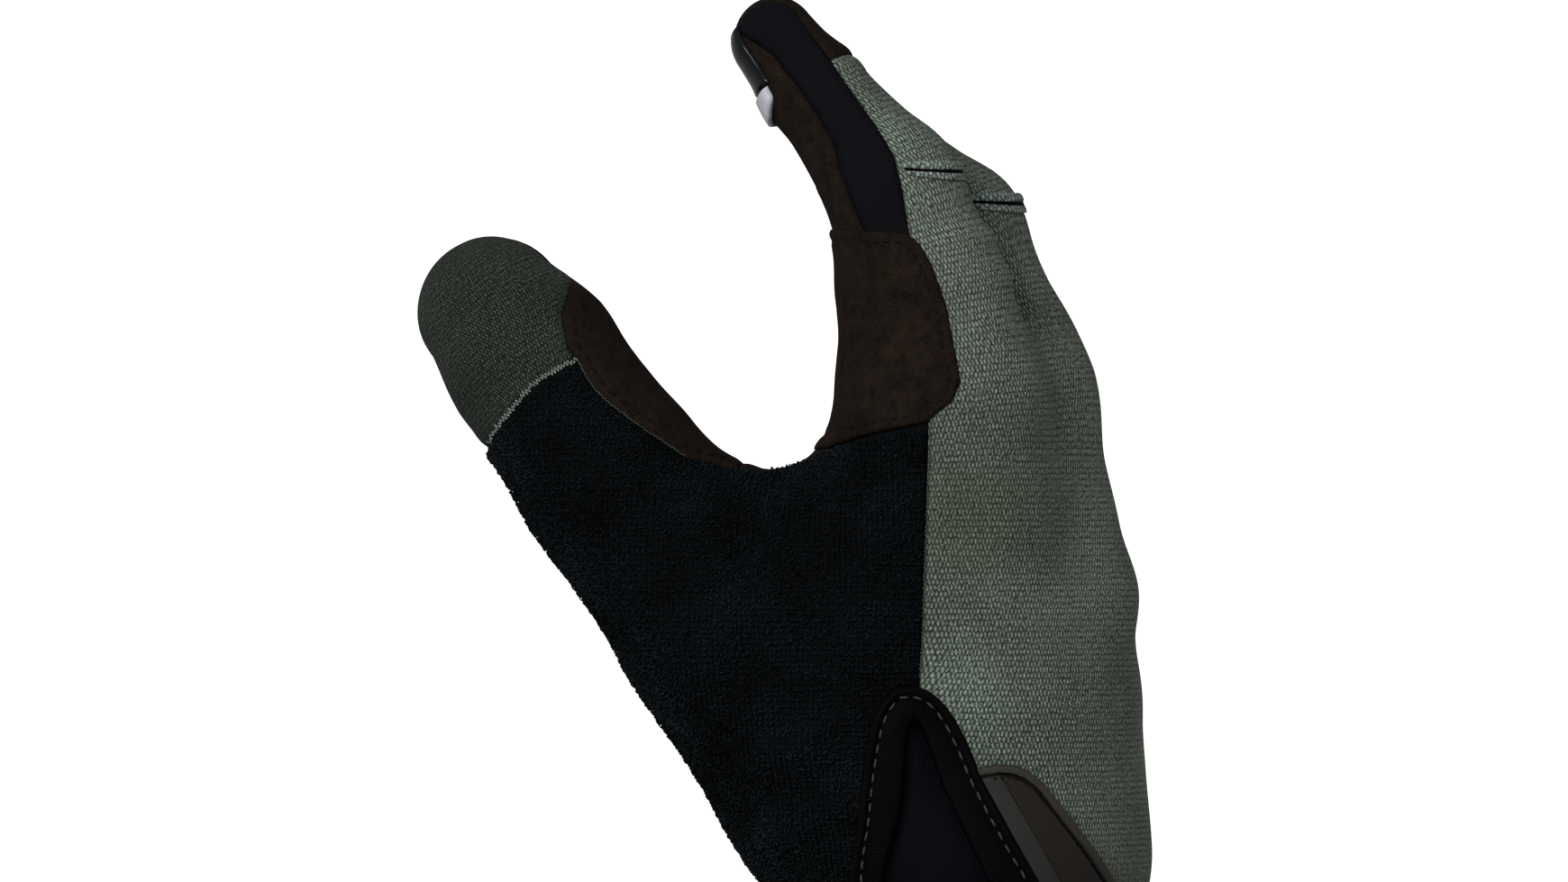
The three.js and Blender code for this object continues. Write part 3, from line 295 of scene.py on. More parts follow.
end_joints = np.array([run.centres[END_JOINT] for run in finger_runs])
end_ways = np.array([unit(run.steps[END_JOINT]) for run in finger_runs])


def left_of(line, points):
    """Signed distance to a line on the side view, positive on its left as it is walked."""
    line, flat = np.asarray(line, float), on_view(points)
    nearest = np.full(len(points), np.inf)
    sign = np.ones(len(points))
    for n in range(len(line) - 1):
        step = line[n + 1] - line[n]
        away = flat - line[n]
        low = -np.inf if n == 0 else 0
        high = np.inf if n == len(line) - 2 else 1
        distance = off_length(away, step, low, high)
        near = distance < nearest - 1e-9
        turn = np.where(step[0] * away[:, 1] - step[1] * away[:, 0] >= 0, 1, -1)
        sign = np.where(near, turn, sign)
        nearest = np.where(near, distance, nearest)
    return nearest * sign


def inside_of(outline, points):
    """Signed distance to a closed outline on the side view, positive inside it."""
    outline, flat = np.asarray(outline, float), on_view(points)
    side, height = flat.T
    nearest = np.full(len(points), np.inf)
    inside = np.zeros(len(points), bool)
    for a, b in zip(outline, np.roll(outline, -1, axis=0)):
        step = b - a
        nearest = np.minimum(nearest, off_length(flat - a, step))
        if a[1] != b[1]:
            crosses = (a[1] > height) != (b[1] > height)
            inside ^= crosses & (side < a[0] + step[0] * (height - a[1]) / step[1])
    return np.where(inside, nearest, -nearest)


palm_plane = placed(PALM_PLANE)
palm_plane_normal = unit(np.cross(palm_plane[2] - palm_plane[0], palm_plane[1] - palm_plane[0]))


def notch_place(points):
    """How far inside the notch points lie, on the side that is seen."""
    return np.minimum(inside_of(NOTCH_OUTLINE, points), points[:, 0] - NOTCH_FAR_SIDE)


def panel_places(points):
    """How far inside each panel a point of the form lies."""
    side, height = side_of(points), points[:, 2]
    place = finger_place(points)
    back_way, along, radius = place["back"], place["along"], place["radius"]
    thumbwards, finger = place["thumbwards"], place["finger"]
    outward = (points - palm_plane[0]) @ palm_plane_normal
    under_top = -left_of(TERRY_TOP, points)
    on_back = left_of(BACK_EDGE, points)
    past_suede = left_of(SUEDE_EDGE, points)
    on_thumb_suede = left_of(THUMB_EDGE, points)
    cut_side, cut_height, side_way, height_way = THUMB_CUT
    thumb_along = (side - cut_side) * side_way + (height - cut_height) * height_way
    near_thumb = place["distance"] - thumb_run.distance(points, 3)
    thumb = np.minimum(thumb_along, near_thumb)

    taper = ramp(along, STRIP_TAPER)
    palm_limit = back_way - STRIP_PALM_SIDE * taper * radius
    back_limit = back_way - STRIP_BACK_SIDE * taper * radius
    beside_tip = np.abs(thumbwards) * FINGER_SQUEEZE - TIP_BAND * radius
    below_cap = ((end_joints[finger] - points) * end_ways[finger]).sum(1)
    index_side = (finger == 0) & (thumbwards > 0)

    strip = least(palm_limit, -back_limit, beside_tip)
    index_strip = least(past_suede, -on_back, -under_top, beside_tip)
    strip = np.where(index_side, index_strip, strip)
    back = least(np.where(index_side, on_back, back_limit), below_cap)
    terry = least(under_top, -on_back, outward, -back)
    thumb_back = least(outward, -under_top, -on_thumb_suede, near_thumb)
    near_suede = least(outward, -under_top, on_thumb_suede, thumb)
    thumb_front = np.maximum(near_suede, least(-outward, thumb))
    others = [terry, thumb_back, thumb_front, back, strip]
    palm = -np.max(others, axis=0)
    away = -np.abs(strip) - 1
    between = []
    for gap in range(4):
        facing = ((finger == gap) & (thumbwards < 0)) | ((finger == gap + 1) & (thumbwards > 0))
        between.append(np.where(facing, strip, away))
    return {
        "back_panel": back,
        "palm_panel": palm,
        "thumb_back": thumb_back,
        "thumb_front": thumb_front,
        "terry_panel": terry,
        "index_side_strip": np.where(index_side, strip, away),
        "fourchette_index_middle": between[0],
        "fourchette_middle_ring": between[1],
        "fourchette_ring_little": between[2],
        "little_side_strip": between[3],
    }


# The form, sampled finely.
GRID = 1.0
COARSE = 4
BLOCK_REACH = 1.3
EVEN_SHARE = 0.6
REGION_REACH = 2.0
RANGE = np.array([[-50, 56], [-104, 32], [-4, 188]], float)


def sampled_form():
    """One point in each cell that the form passes through, joined round the crossed edges."""
    counts = (np.round((RANGE[:, 1] - RANGE[:, 0]) / (GRID * COARSE)).astype(int)) * COARSE
    axes = [RANGE[i, 0] + GRID * np.arange(counts[i]) for i in range(3)]
    middles = [axis[::COARSE] + (COARSE - 1) / 2 * GRID for axis in axes]
    coarse = np.stack(np.meshgrid(*middles, indexing="ij"), -1)
    rough = hand_distance(coarse.reshape(-1, 3)).reshape(coarse.shape[:3])
    values = np.repeat(np.repeat(np.repeat(rough, COARSE, 0), COARSE, 1), COARSE, 2)
    near = np.argwhere(np.abs(values) < COARSE * GRID * BLOCK_REACH)
    values[tuple(near.T)] = hand_distance(RANGE[:, 0] + GRID * near)
    inside = values < 0
    cells = counts - 1
    total = np.zeros((*cells, 3))
    hits = np.zeros(cells, int)
    for axis in range(3):
        others = [a for a in range(3) if a != axis]
        for first in (0, 1):
            for second in (0, 1):
                offset = np.zeros(3, int)
                offset[others] = first, second
                here = tuple(slice(offset[a], offset[a] + cells[a]) for a in range(3))
                offset[axis] += 1
                there = tuple(slice(offset[a], offset[a] + cells[a]) for a in range(3))
                crossed = inside[here] != inside[there]
                gap = np.where(crossed, values[here] - values[there], 1)
                total[..., axis] += np.where(crossed, values[here] / gap, 0)
                total[..., others[0]] += crossed * first
                total[..., others[1]] += crossed * second
                hits += crossed
    crossed_cells = np.argwhere(hits > 0)
    number = -np.ones(cells, int)
    number[tuple(crossed_cells.T)] = np.arange(len(crossed_cells))
    middle = total[tuple(crossed_cells.T)] / hits[tuple(crossed_cells.T)][:, None]
    points = RANGE[:, 0] + GRID * (crossed_cells + middle)
    quads = []
    for axis in range(3):
        second, third = (axis + 1) % 3, (axis + 2) % 3
        here = [slice(1, counts[a] - 1) for a in range(3)]
        here[axis] = slice(0, counts[axis] - 1)
        there = list(here)
        there[axis] = slice(1, counts[axis])
        starts = inside[tuple(here)]
        edges = np.argwhere(starts != inside[tuple(there)])
        out = starts[tuple(edges.T)]
        edges += np.array([a != axis for a in range(3)], int)
        corners = []
        for a, b in ((1, 1), (0, 1), (0, 0), (1, 0)):
            cell = edges.copy()
            cell[:, second] -= a
            cell[:, third] -= b
            corners.append(number[tuple(cell.T)])
        quad = np.stack(corners, 1)
        quad[~out] = quad[~out][:, ::-1]
        quads.append(quad)
    return points, np.concatenate(quads)


def evened(points, quads, rounds):
    """Draws each point towards the middle of the faces round it, along the form."""
    points = settled(points, 2)
    for _ in range(rounds):
        middles = points[quads].mean(1)
        users = quads.ravel()
        sums = [np.bincount(users, np.repeat(column, 4), len(points)) for column in middles.T]
        counts = np.bincount(users, minlength=len(points))[:, None]
        drawn = EVEN_SHARE * np.stack(sums, 1) / counts
        points = settled(points * (1 - EVEN_SHARE) + drawn, 1)
    return points


def split_quads(points, quads):
    """Each quad as two triangles, parted along its shorter diagonal."""
    a, b, c, d = quads.T
    one_way = np.linalg.norm(points[a] - points[c], axis=1)
    other_way = np.linalg.norm(points[b] - points[d], axis=1)
    first = (one_way <= other_way)[:, None]
    one = np.where(first, np.stack([a, b, c], 1), np.stack([a, b, d], 1))
    two = np.where(first, np.stack([a, c, d], 1), np.stack([b, c, d], 1))
    return np.concatenate([one, two])


def packed(points, triangles):
    """The triangles with only the points that they use."""
    used, numbers = np.unique(triangles, return_inverse=True)
    return points[used], numbers.reshape(triangles.shape)


def edge_pairs(triangles):
    """The two points of each edge, the lower number first, with three edges to a triangle."""
    edges = [triangles[:, [0, 1]], triangles[:, [1, 2]], triangles[:, [2, 0]]]
    return np.sort(np.concatenate(edges), 1)


def halved(points, triangles):
    """Each triangle as four, with the new points on the form."""
    edges, numbers = np.unique(edge_pairs(triangles), axis=0, return_inverse=True)
    ab, bc, ca = numbers.reshape(3, -1) + len(points)
    middles = settled(points[edges].mean(1), 1)
    a, b, c = triangles.T
    parts = [(a, ab, ca), (ab, b, bc), (ca, bc, c), (ab, bc, ca)]
    return np.concatenate([points, middles]), np.concatenate([np.stack(part, 1) for part in parts])


def region(measure, finer):
    """The part of the form where a measure is above minus a reach, halved some times."""
    points, triangles = form
    for level in range(finer + 1):
        values = measure(points)
        kept = triangles[(values[triangles] > -REGION_REACH / 2 ** level).any(1)]
        points, triangles = packed(points, kept)
        if level < finer:
            points, triangles = halved(points, triangles)
    return points, triangles


# Points nearer to a cut than this share of an edge are drawn onto it.
DRAWN_SHARE = 0.35


def cut(points, triangles, values):
    """The part of a surface where the values are positive, cut along their zero line. Points that
    lie close beside the line are first drawn onto it."""
    points, values = points.copy(), values.copy()
    pairs = np.unique(edge_pairs(triangles), axis=0)
    a, b = pairs[(values[pairs[:, 0]] > 0) != (values[pairs[:, 1]] > 0)].T
    share = values[a] / (values[a] - values[b])
    travel = np.minimum(share, 1 - share)
    order = np.argsort(-travel)
    order = order[travel[order] < DRAWN_SHARE]
    target = points[a] + (points[b] - points[a]) * share[:, None]
    mover = np.where(share < 0.5, a, b)
    points[mover[order]] = target[order]
    values[mover[order]] = 1e-7
    inside = values[triangles] > 0
    count = inside.sum(1)
    one, two = triangles[count == 1], triangles[count == 2]
    turn = inside[count == 1].argmax(1)[:, None]
    one = np.take_along_axis(one, (turn + np.arange(3)) % 3, 1)
    turn = inside[count == 2].argmin(1)[:, None]
    two = np.take_along_axis(two, (turn + np.arange(3)) % 3, 1)
    crossing = np.concatenate([one[:, [0, 1]], one[:, [0, 2]], two[:, [1, 0]], two[:, [2, 0]]])
    edges, numbers = np.unique(np.sort(crossing, 1), axis=0, return_inverse=True)
    low, high = values[edges].T
    start = points[edges[:, 0]]
    new = start + (points[edges[:, 1]] - start) * (low / (low - high))[:, None]
    numbers = numbers.reshape(-1) + len(points)
    n1, n2 = len(one), len(two)
    c1, c2, c3, c4 = np.split(numbers, [n1, 2 * n1, 2 * n1 + n2])
    result = np.concatenate([
        triangles[count == 3],
        np.stack([one[:, 0], c1, c2], 1),
        np.stack([two[:, 1], two[:, 2], c3], 1),
        np.stack([two[:, 2], c4, c3], 1),
    ])
    return packed(np.concatenate([points, new]), result)


def cut_region(measure, finer):
    """The part of the form where a measure is positive, sampled finer than the rest."""
    points, triangles = region(measure, finer)
    return cut(points, triangles, measure(points))


# Places of the side view are walked onto the form from in front of it.
SEEN_FROM = 70
SEEN_STEP = 0.85
SEEN_ROUNDS = 40


def seen(side, height):
    """The points of the form that are seen at places of the side view."""
    side, height = np.broadcast_arrays(np.asarray(side, float), np.asarray(height, float))
    shape = side.shape
    side, height = side.ravel(), height.ravel()
    start = np.stack([-side * SINE, side * COSINE, height], 1) + TO_VIEWER * SEEN_FROM
    for _ in range(SEEN_ROUNDS):
        start = start - TO_VIEWER * SEEN_STEP * hand_distance(start)[:, None]
    return settled(start, 1).reshape(*shape, 3)


def lifted(points, height):
    """Points moved out from the form by a height along its normal."""
    flat = points.reshape(-1, 3)
    rise = np.broadcast_to(height, points.shape[:-1]).reshape(-1, 1)
    return (flat + unit(slope(flat)) * rise).reshape(points.shape)


CURVE_STEPS = 24


def curve_at(rows, places):
    """A smooth curve through rows, at places counted in rows."""
    rows = np.asarray(rows, float)
    padded = np.concatenate([2 * rows[:1] - rows[1:2], rows, 2 * rows[-1:] - rows[-2:-1]])
    n = np.minimum(places.astype(int), len(rows) - 2)
    t = (places - n)[:, None]
    p0, p1, p2, p3 = padded[n], padded[n + 1], padded[n + 2], padded[n + 3]
    cubic = (3 * p1 - p0 - 3 * p2 + p3) * t ** 3
    return 0.5 * (2 * p1 + (p2 - p0) * t + (2 * p0 - 5 * p1 + 4 * p2 - p3) * t ** 2 + cubic)


def lengths_along(path):
    """How far along a path each of its points lies."""
    return np.concatenate([[0], np.cumsum(np.linalg.norm(np.diff(path, axis=0), axis=1))])


def path_at(path, places):
    """The points of a path at given lengths along it."""
    run = lengths_along(path)
    return np.stack([np.interp(places, run, column) for column in path.T], 1)


def smooth_line(rows, step):
    """A smooth curve through rows, walked in even steps."""
    spans = len(rows) - 1
    curve = curve_at(rows, np.linspace(0, spans, CURVE_STEPS * spans + 1))
    total = lengths_along(curve)[-1]
    return path_at(curve, np.linspace(0, total, max(int(round(total / step)), 2)))


def beside(line):
    """The unit vectors to the right of a line on the side view, as it is walked."""
    way = unit(np.gradient(line, axis=0))
    return np.stack([way[:, 1], -way[:, 0]], 1)


def side_path(rows, offset):
    """A path on the form beside a line of the side view."""
    line = smooth_line(rows, 0.6)
    return seen(*(line + beside(line) * offset).T)


def grid_faces(rows, columns, ring=False):
    """The quads of a grid of points. In a ring, the last column is joined to the first."""
    across = np.arange(columns if ring else columns - 1)
    i, j = np.meshgrid(np.arange(rows - 1) * columns, across, indexing="ij")
    i, j = i.ravel(), j.ravel()
    after = (j + 1) % columns
    return np.stack([i + j, i + after, i + columns + after, i + columns + j], 1)


def laid(points, height):
    """A grid of points drawn onto the form and lifted off it, as a sheet that faces outwards."""
    points_on_form = settled(points.reshape(-1, 3), 4).reshape(points.shape)
    faces = grid_faces(*points.shape[:2])[:, ::-1]
    return lifted(points_on_form, height).reshape(-1, 3), faces


def tube(path, radius, sides, normals=(0.31, 0.22, 0.92)):
    """A round thread along a path, with its ends drawn in."""
    way = unit(np.gradient(path, axis=0))
    across = unit(np.cross(way, np.broadcast_to(normals, path.shape)))
    over = np.cross(across, way)
    angle = np.linspace(0, TURN, sides, endpoint=False)
    radius = np.broadcast_to(radius, len(path)).copy()
    radius[[0, -1]] *= 0.3
    ring = across[:, None] * np.cos(angle)[:, None] + over[:, None] * np.sin(angle)[:, None]
    points = path[:, None] + ring * radius[:, None, None]
    return points.reshape(-1, 3), grid_faces(len(path), sides, ring=True)


def joined(shapes):
    """Several lists of points and faces as one."""
    points, faces, start = [], [], 0
    for shape_points, shape_faces in shapes:
        points.append(shape_points)
        faces.append(np.asarray(shape_faces) + start)
        start += len(shape_points)
    return np.concatenate(points), np.concatenate(faces)


def repeated(template, faces, origins, along, up, scale=1.0):
    """Copies of a small shape, each turned to its own directions and put at its own place."""
    along = unit(along - up * (along * up).sum(1, keepdims=True))
    across = np.cross(up, along)
    scale = np.broadcast_to(scale, len(origins))[:, None, None]
    moved = (template[None, :, 0:1] * along[:, None] + template[None, :, 1:2] * across[:, None]
             + template[None, :, 2:3] * up[:, None]) * scale
    points = origins[:, None] + moved
    count = len(template)
    all_faces = faces[None] + (np.arange(len(origins)) * count)[:, None, None]
    return points.reshape(-1, 3), all_faces.reshape(-1, faces.shape[1])


def stitch_shape(length, radius):
    """One stitch: a short thread that rises out of the cloth, runs along it and dips in again."""
    t = np.linspace(-1, 1, 7)
    path = np.stack([t * length / 2, 0 * t, radius * (1.3 * (1 - t ** 4) - 0.9)], 1)
    return tube(path, radius * (1.05 - 0.35 * t ** 4), 5, UP)


def stitches(path, length, pitch, radius, lift):
    """Stitches one after another along a path on the form."""
    places = np.arange(pitch / 2, lengths_along(path)[-1] - pitch / 2, pitch)
    origin, ahead = path_at(path, places), path_at(path, places + 0.5)
    up = unit(slope(origin))
    along = unit(ahead - origin + rng.normal(0, 0.03, origin.shape))
    return repeated(*stitch_shape(length, radius), origin + up * lift, along, up)


def zigzag(line, width, pitch, radius, lift):
    """An overlocked edge: a thread that crosses a line of the side view to and fro."""
    line = smooth_line(line, pitch / 2)
    swing = width / 2 * np.where(np.arange(len(line)) % 2, 1, -1)
    swing = swing + rng.normal(0, width / 7, len(line))
    path = seen(*(line + beside(line) * swing[:, None]).T)
    path = lifted(path, lift + rng.normal(0, 0.09, len(line)))
    return tube(smooth_line(path, pitch / 5), radius, 5)


# Materials.


def linear(colour):
    """A colour given as six hexadecimal digits, as light values."""
    parts = [int(colour[n:n + 2], 16) / 255 for n in (1, 3, 5)]
    return tuple(p / 12.92 if p <= 0.04045 else ((p + 0.055) / 1.055) ** 2.4 for p in parts) + (1.0,)


def arithmetic(operation, turned=False):
    """A method of a wire that adds a node for an operation, its values turned round or not."""
    def method(self, *others):
        values = (*others, self) if turned else (self, *others)
        inputs = dict(enumerate(values))
        return self.finish.node("ShaderNodeMath", {"operation": operation}, inputs)[0]
    return method


class Wire:
    """A socket of a material that can be used in plain arithmetic."""

    def __init__(self, finish, socket):
        self.finish, self.socket = finish, socket

    __add__ = __radd__ = arithmetic("ADD")
    __sub__, __rsub__ = arithmetic("SUBTRACT"), arithmetic("SUBTRACT", turned=True)
    __mul__ = __rmul__ = arithmetic("MULTIPLY")
    __truediv__ = arithmetic("DIVIDE")
    sine, floor, abs = arithmetic("SINE"), arithmetic("FLOOR"), arithmetic("ABSOLUTE")
    power, least, most = arithmetic("POWER"), arithmetic("MINIMUM"), arithmetic("MAXIMUM")

    def clamp(self):
        return self.most(0.0).least(1.0)


class Finish:
    """A material with one Principled shader, made node by node."""

    def __init__(self, name, **constants):
        self.material = bpy.data.materials.new(name)
        self.material.use_nodes = True
        self.tree = self.material.node_tree
        self.shader = self.tree.nodes["Principled BSDF"]
        for socket, value in constants.items():
            self.shader.inputs[socket.replace("_", " ")].default_value = value
        self.place = self.node("ShaderNodeTexCoord")[3]

    def node(self, kind, settings=None, inputs=None):
        made = self.tree.nodes.new(kind)
        for name, value in (settings or {}).items():
            setattr(made, name, value)
        for key, value in (inputs or {}).items():
            if isinstance(value, Wire):
                self.tree.links.new(value.socket, made.inputs[key])
            else:
                made.inputs[key].default_value = value
        return [Wire(self, output) for output in made.outputs]

    def cloth(self):
        """The two cloth coordinates in millimetres, across and along."""
        uv = self.node("ShaderNodeUVMap", {"uv_map": "cloth"})[0]
        across, along, _ = self.node("ShaderNodeSeparateXYZ", None, {0: uv})
        return uv, across, along

    def noise(self, where, scale, detail, roughness=0.55):
        settings = {"Vector": where, "Scale": scale, "Detail": detail, "Roughness": roughness}
        return self.node("ShaderNodeTexNoise", None, settings)[0]

    def cells(self, where, scale):
        inputs = {"Vector": where, "Scale": scale}
        return self.node("ShaderNodeTexVoronoi", {"feature": "F1"}, inputs)[0]

    def mix(self, factor, *colours):
        """Two colours, each a wire or six hexadecimal digits, mixed by a factor."""
        a, b = (linear(colour) if isinstance(colour, str) else colour for colour in colours)
        return self.node("ShaderNodeMix", {"data_type": "RGBA"}, {0: factor, 6: a, 7: b})[2]

    def surface(self, colour, roughness, height=None, depth=0.0, strength=1.0):
        self.tree.links.new(colour.socket, self.shader.inputs["Base Color"])
        self.tree.links.new(roughness.socket, self.shader.inputs["Roughness"])
        if height is not None:
            inputs = {"Height": height, "Distance": depth, "Strength": strength}
            bump = self.node("ShaderNodeBump", None, inputs)[0]
            self.tree.links.new(bump.socket, self.shader.inputs["Normal"])
        return self.material



def knit_finish(name, dark, mid, light, shade, row=1.02, loop=0.7):
    """Fine knit: short upright loops in rows, each second row shifted by half a loop. The colour
    follows the loops: paler on their tops as painted highlight, dark in the holes between them as
    painted shade. Single loops are a little paler, and the cloth a little browner in places."""
    f = Finish(name, Specular_IOR_Level=0.12)
    uv, across, along = f.cloth()
    stray = f.noise(uv, 0.9, 2) - 0.5
    line = along / row + stray * 0.8
    level = line.floor()
    over = (line - level) * 2 - 1
    shift = level * 0.5 - (level * 0.5).floor()
    beside = ((across / loop + shift + stray * 0.7) * TURN).sine() * 0.5 + 0.5
    bump = (beside * 1.25 - over.abs().power(3) * 0.75).clamp()
    fibre = f.noise(f.place, 4600, 2)
    single = f.noise(uv, 1.7, 1)
    patch = f.noise(f.place, 42, 3)
    # The loop bump also sets the tone: painted highlight on the loop tops, painted shade in the holes.
    tone = (bump * 0.46 + fibre * 0.7 + (single - 0.5) * 1.1 + (patch - 0.5) * 0.5 - 0.03).clamp()
    colour = f.mix((tone * 1.5).clamp(), dark, mid)
    colour = f.mix(((tone - 0.5) * 2.0).clamp(), colour, light)
    brown = ((f.noise(f.place, 28, 2) - 0.42) * 3).clamp() * 0.55
    colour = f.mix(brown, colour, f.mix(tone, dark, shade))
    rough = 0.92 - tone * 0.2
    return f.surface(colour, rough, bump * 0.7 + fibre * 0.5, 0.0002, 0.9)


def suede_finish(name, dark, light):
    """Napped suede: very fine grain in soft patches, a little paler where it is brushed."""
    f = Finish(name, Specular_IOR_Level=0.05)
    grain = f.noise(f.place, 3600, 3, 0.7)
    nap = f.noise(f.place, 420, 4, 0.6)
    patch = f.noise(f.place, 60, 2)
    _, across, _ = f.cloth()
    ribs = ((across + (nap - 0.5) * 0.3) / 0.55 * TURN).sine() * 0.5 + 0.5
    tone = ((grain - 0.5) * 1.9 + (nap - 0.5) * 1.1 + (patch - 0.5) * 0.5 + ribs * 0.12 + 0.38).clamp()
    colour = f.mix(tone, dark, light)
    return f.surface(colour, 0.86 + grain * 0.14, grain * 0.6 + nap * 0.7 + ribs * 0.25, 0.0002, 0.6)


def terry_finish(name, dark, light):
    """Looped pile: small loops packed side by side, paler on their tops as painted highlight and
    darker between them as painted shade.
    """
    f = Finish(name, Specular_IOR_Level=0.04)
    loops = f.cells(f.place, 1100)
    twist = f.noise(f.place, 2600, 3)
    patch = f.noise(f.place, 75, 3)
    # Paler at the middle of each loop, a painted highlight; darker between loops, painted shade.
    tone = ((1 - loops * 1.2) * 0.5 + twist * 0.4 + (patch - 0.5) * 1.3 - 0.05).clamp()
    colour = f.mix(tone, dark, light)
    return f.surface(colour, 0.9 + twist * 0.1, (1 - loops) * 0.8 + twist * 0.3, 0.0005, 0.7)


def stretch_finish(name, dark, light, rib=0.42):
    """Smooth stretch cloth: very fine upright ribs and a soft shine."""
    f = Finish(name, Specular_IOR_Level=0.03)
    _, across, along = f.cloth()
    ribs = (across / rib * TURN).sine() * 0.5 + 0.5
    ticks = (along / (rib * 1.4) * TURN).sine() * 0.5 + 0.5
    fibre = f.noise(f.place, 4200, 2)
    patch = f.noise(f.place, 80, 2)
    weave = ribs * (0.6 + 0.4 * ticks)
    tone = (weave * 0.45 + fibre * 0.3 + (patch - 0.5) * 0.5 + 0.1).clamp()
    colour = f.mix(tone, dark, light)
    return f.surface(colour, 0.62 + fibre * 0.2, weave + fibre * 0.4, 0.00012, 0.5)


def moulded_finish(name, dark, light, rough=0.5):
    """Moulded rubber: a fine even grain with a few rubbed places."""
    f = Finish(name, Specular_IOR_Level=0.12)
    grain = f.noise(f.place, 2200, 2)
    rubbed = f.noise(f.place, 130, 4)
    tone = (rubbed * 0.7 + grain * 0.3).clamp()
    colour = f.mix(tone, dark, light)
    return f.surface(colour, rough + (rubbed - 0.5) * 0.2 + grain * 0.08, grain, 0.00005, 0.5)


def gloss_finish(name, dark, light, rough):
    f = Finish(name, Specular_IOR_Level=0.15, Coat_Weight=0.12, Coat_Roughness=0.1)
    marks = f.noise(f.place, 700, 3)
    colour = f.mix(marks, dark, light)
    return f.surface(colour, rough + marks * 0.15, f.noise(f.place, 1500, 2), 0.00004, 0.4)


def thread_finish(name, dark, light):
    """Twisted sewing thread."""
    f = Finish(name, Specular_IOR_Level=0.08)
    twist = f.noise(f.place, 4200, 2)
    patch = f.noise(f.place, 160, 2)
    colour = f.mix((twist * 0.6 + patch * 0.5).clamp(), dark, light)
    return f.surface(colour, 0.65 + twist * 0.2, twist, 0.0001, 0.6)


KNIT = knit_finish("olive knit", "#161b17", "#4a5349", "#87938a", "#57523f")
# Denser loops for the thumb tip, in colours darker than the olive knit's: painted shade.
THUMB_KNIT_SHADED = knit_finish("dense olive knit in painted shade", "#070907", "#1d221d", "#4a544b", "#282519", 0.8, 0.6)
# A paler copy of the olive knit for the knuckle folds: painted highlight.
LIP_KNIT_HIGHLIT = knit_finish("folded lip knit with painted highlight", "#1f2624", "#5d6963", "#97a49e", "#5a5c52", 0.72, 0.9)
SUEDE = suede_finish("brown suede", "#060403", "#261e18")
TERRY = terry_finish("navy terry", "#030405", "#0c0f12")
LOOPS = terry_finish("terry loops", "#020303", "#22282c")
STRETCH = stretch_finish("black stretch cloth", "#050507", "#141419")
HEM = stretch_finish("ribbed hem", "#010101", "#09090b", 0.7)
GUSSET = stretch_finish("gusset cloth", "#040306", "#0e0b12", 0.4)
RUBBER = moulded_finish("tab rubber", "#171412", "#221e1b")
RIM = moulded_finish("tab rim", "#282725", "#353431", 0.6)
BEVEL = moulded_finish("tab bevel", "#20211f", "#2b2c29", 0.55)
# The slit's stretch insert, nearly black: painted shade in the slits under the knuckle folds.
SLIT_SHADE = stretch_finish("slit in painted shade", "#010101", "#050505")
GLOSS = gloss_finish("gloss pad", "#040405", "#0d0d0f", 0.12)
PALE = gloss_finish("pale pad end", "#9c9da3", "#b9bac0", 0.3)
DARK_THREAD = thread_finish("dark thread", "#040303", "#14110e")
HEM_THREAD = thread_finish("hem thread", "#1c1c1f", "#4a4a4e")
PALE_THREAD = thread_finish("pale thread", "#57605a", "#8d968d")
EDGE_THREAD = thread_finish("edge thread", "#2c332d", "#58615a")


# Pieces.


def cloth_place(points, on_thumb):
    """Cloth coordinates in millimetres: across, round the fingers or the thumb, and along them.
    Each finger counts the more the nearer it is."""
    runs = [thumb_run] if on_thumb else finger_runs
    total, across, along = np.zeros((3, len(points)))
    for run in runs:
        base = 0.0 if on_thumb else run.centres[KNUCKLE, 2] - run.starts[KNUCKLE]
        for n in range(len(run.steps)):
            distance, off, radius, share = run.at(points, n, 1.0)
            weight = np.exp(-0.6 * np.clip(distance, -5, 60))
            angle = np.arctan2(off[:, 0], off @ run.backs[n])
            middle = run.centres[n, 0] + ramp(share) * run.steps[n, 0]
            across += weight * (middle + radius * angle)
            way = base + run.starts[n] + share * run.sizes[n]
            along += weight * (points[:, 2] if n < KNUCKLE and not on_thumb else way)
            total += weight
    return np.stack([across / total, along / total], 1)


def in_scene(name, data):
    made = bpy.data.objects.new(name, data)
    bpy.context.scene.collection.objects.link(made)
    return made


def smooth_mesh(name, points, faces, material):
    """A mesh from points in metres and faces, shaded smooth."""
    mesh = bpy.data.meshes.new(name)
    mesh.from_pydata(points.tolist(), [], faces.tolist())
    mesh.polygons.foreach_set("use_smooth", np.ones(len(mesh.polygons), bool))
    mesh.materials.append(material)
    return mesh


def piece(name, shape, material, replaces=(), thickness=0.0, on_thumb=False, merge=0.0,
          cloth=None):
    """A scene piece from points in millimetres and faces, with its cloth coordinates."""
    points, faces = shape
    mesh = smooth_mesh(name, points * MM, faces, material)
    coordinates = cloth_place(points, on_thumb) if cloth is None else cloth
    layer = mesh.uv_layers.new(name="cloth")
    corners = np.zeros(len(mesh.loops), int)
    mesh.loops.foreach_get("vertex_index", corners)
    layer.data.foreach_set("uv", coordinates[corners].astype(np.float32).ravel())
    if merge:
        work = bmesh.new()
        work.from_mesh(mesh)
        bmesh.ops.remove_doubles(work, verts=work.verts, dist=merge * MM)
        work.to_mesh(mesh)
        work.free()
    made = in_scene(name, mesh)
    if thickness:
        wall = made.modifiers.new("wall", "SOLIDIFY")
        wall.thickness = thickness * MM
        wall.offset = -1
    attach(made, "root")
    if replaces:
        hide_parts(*replaces)


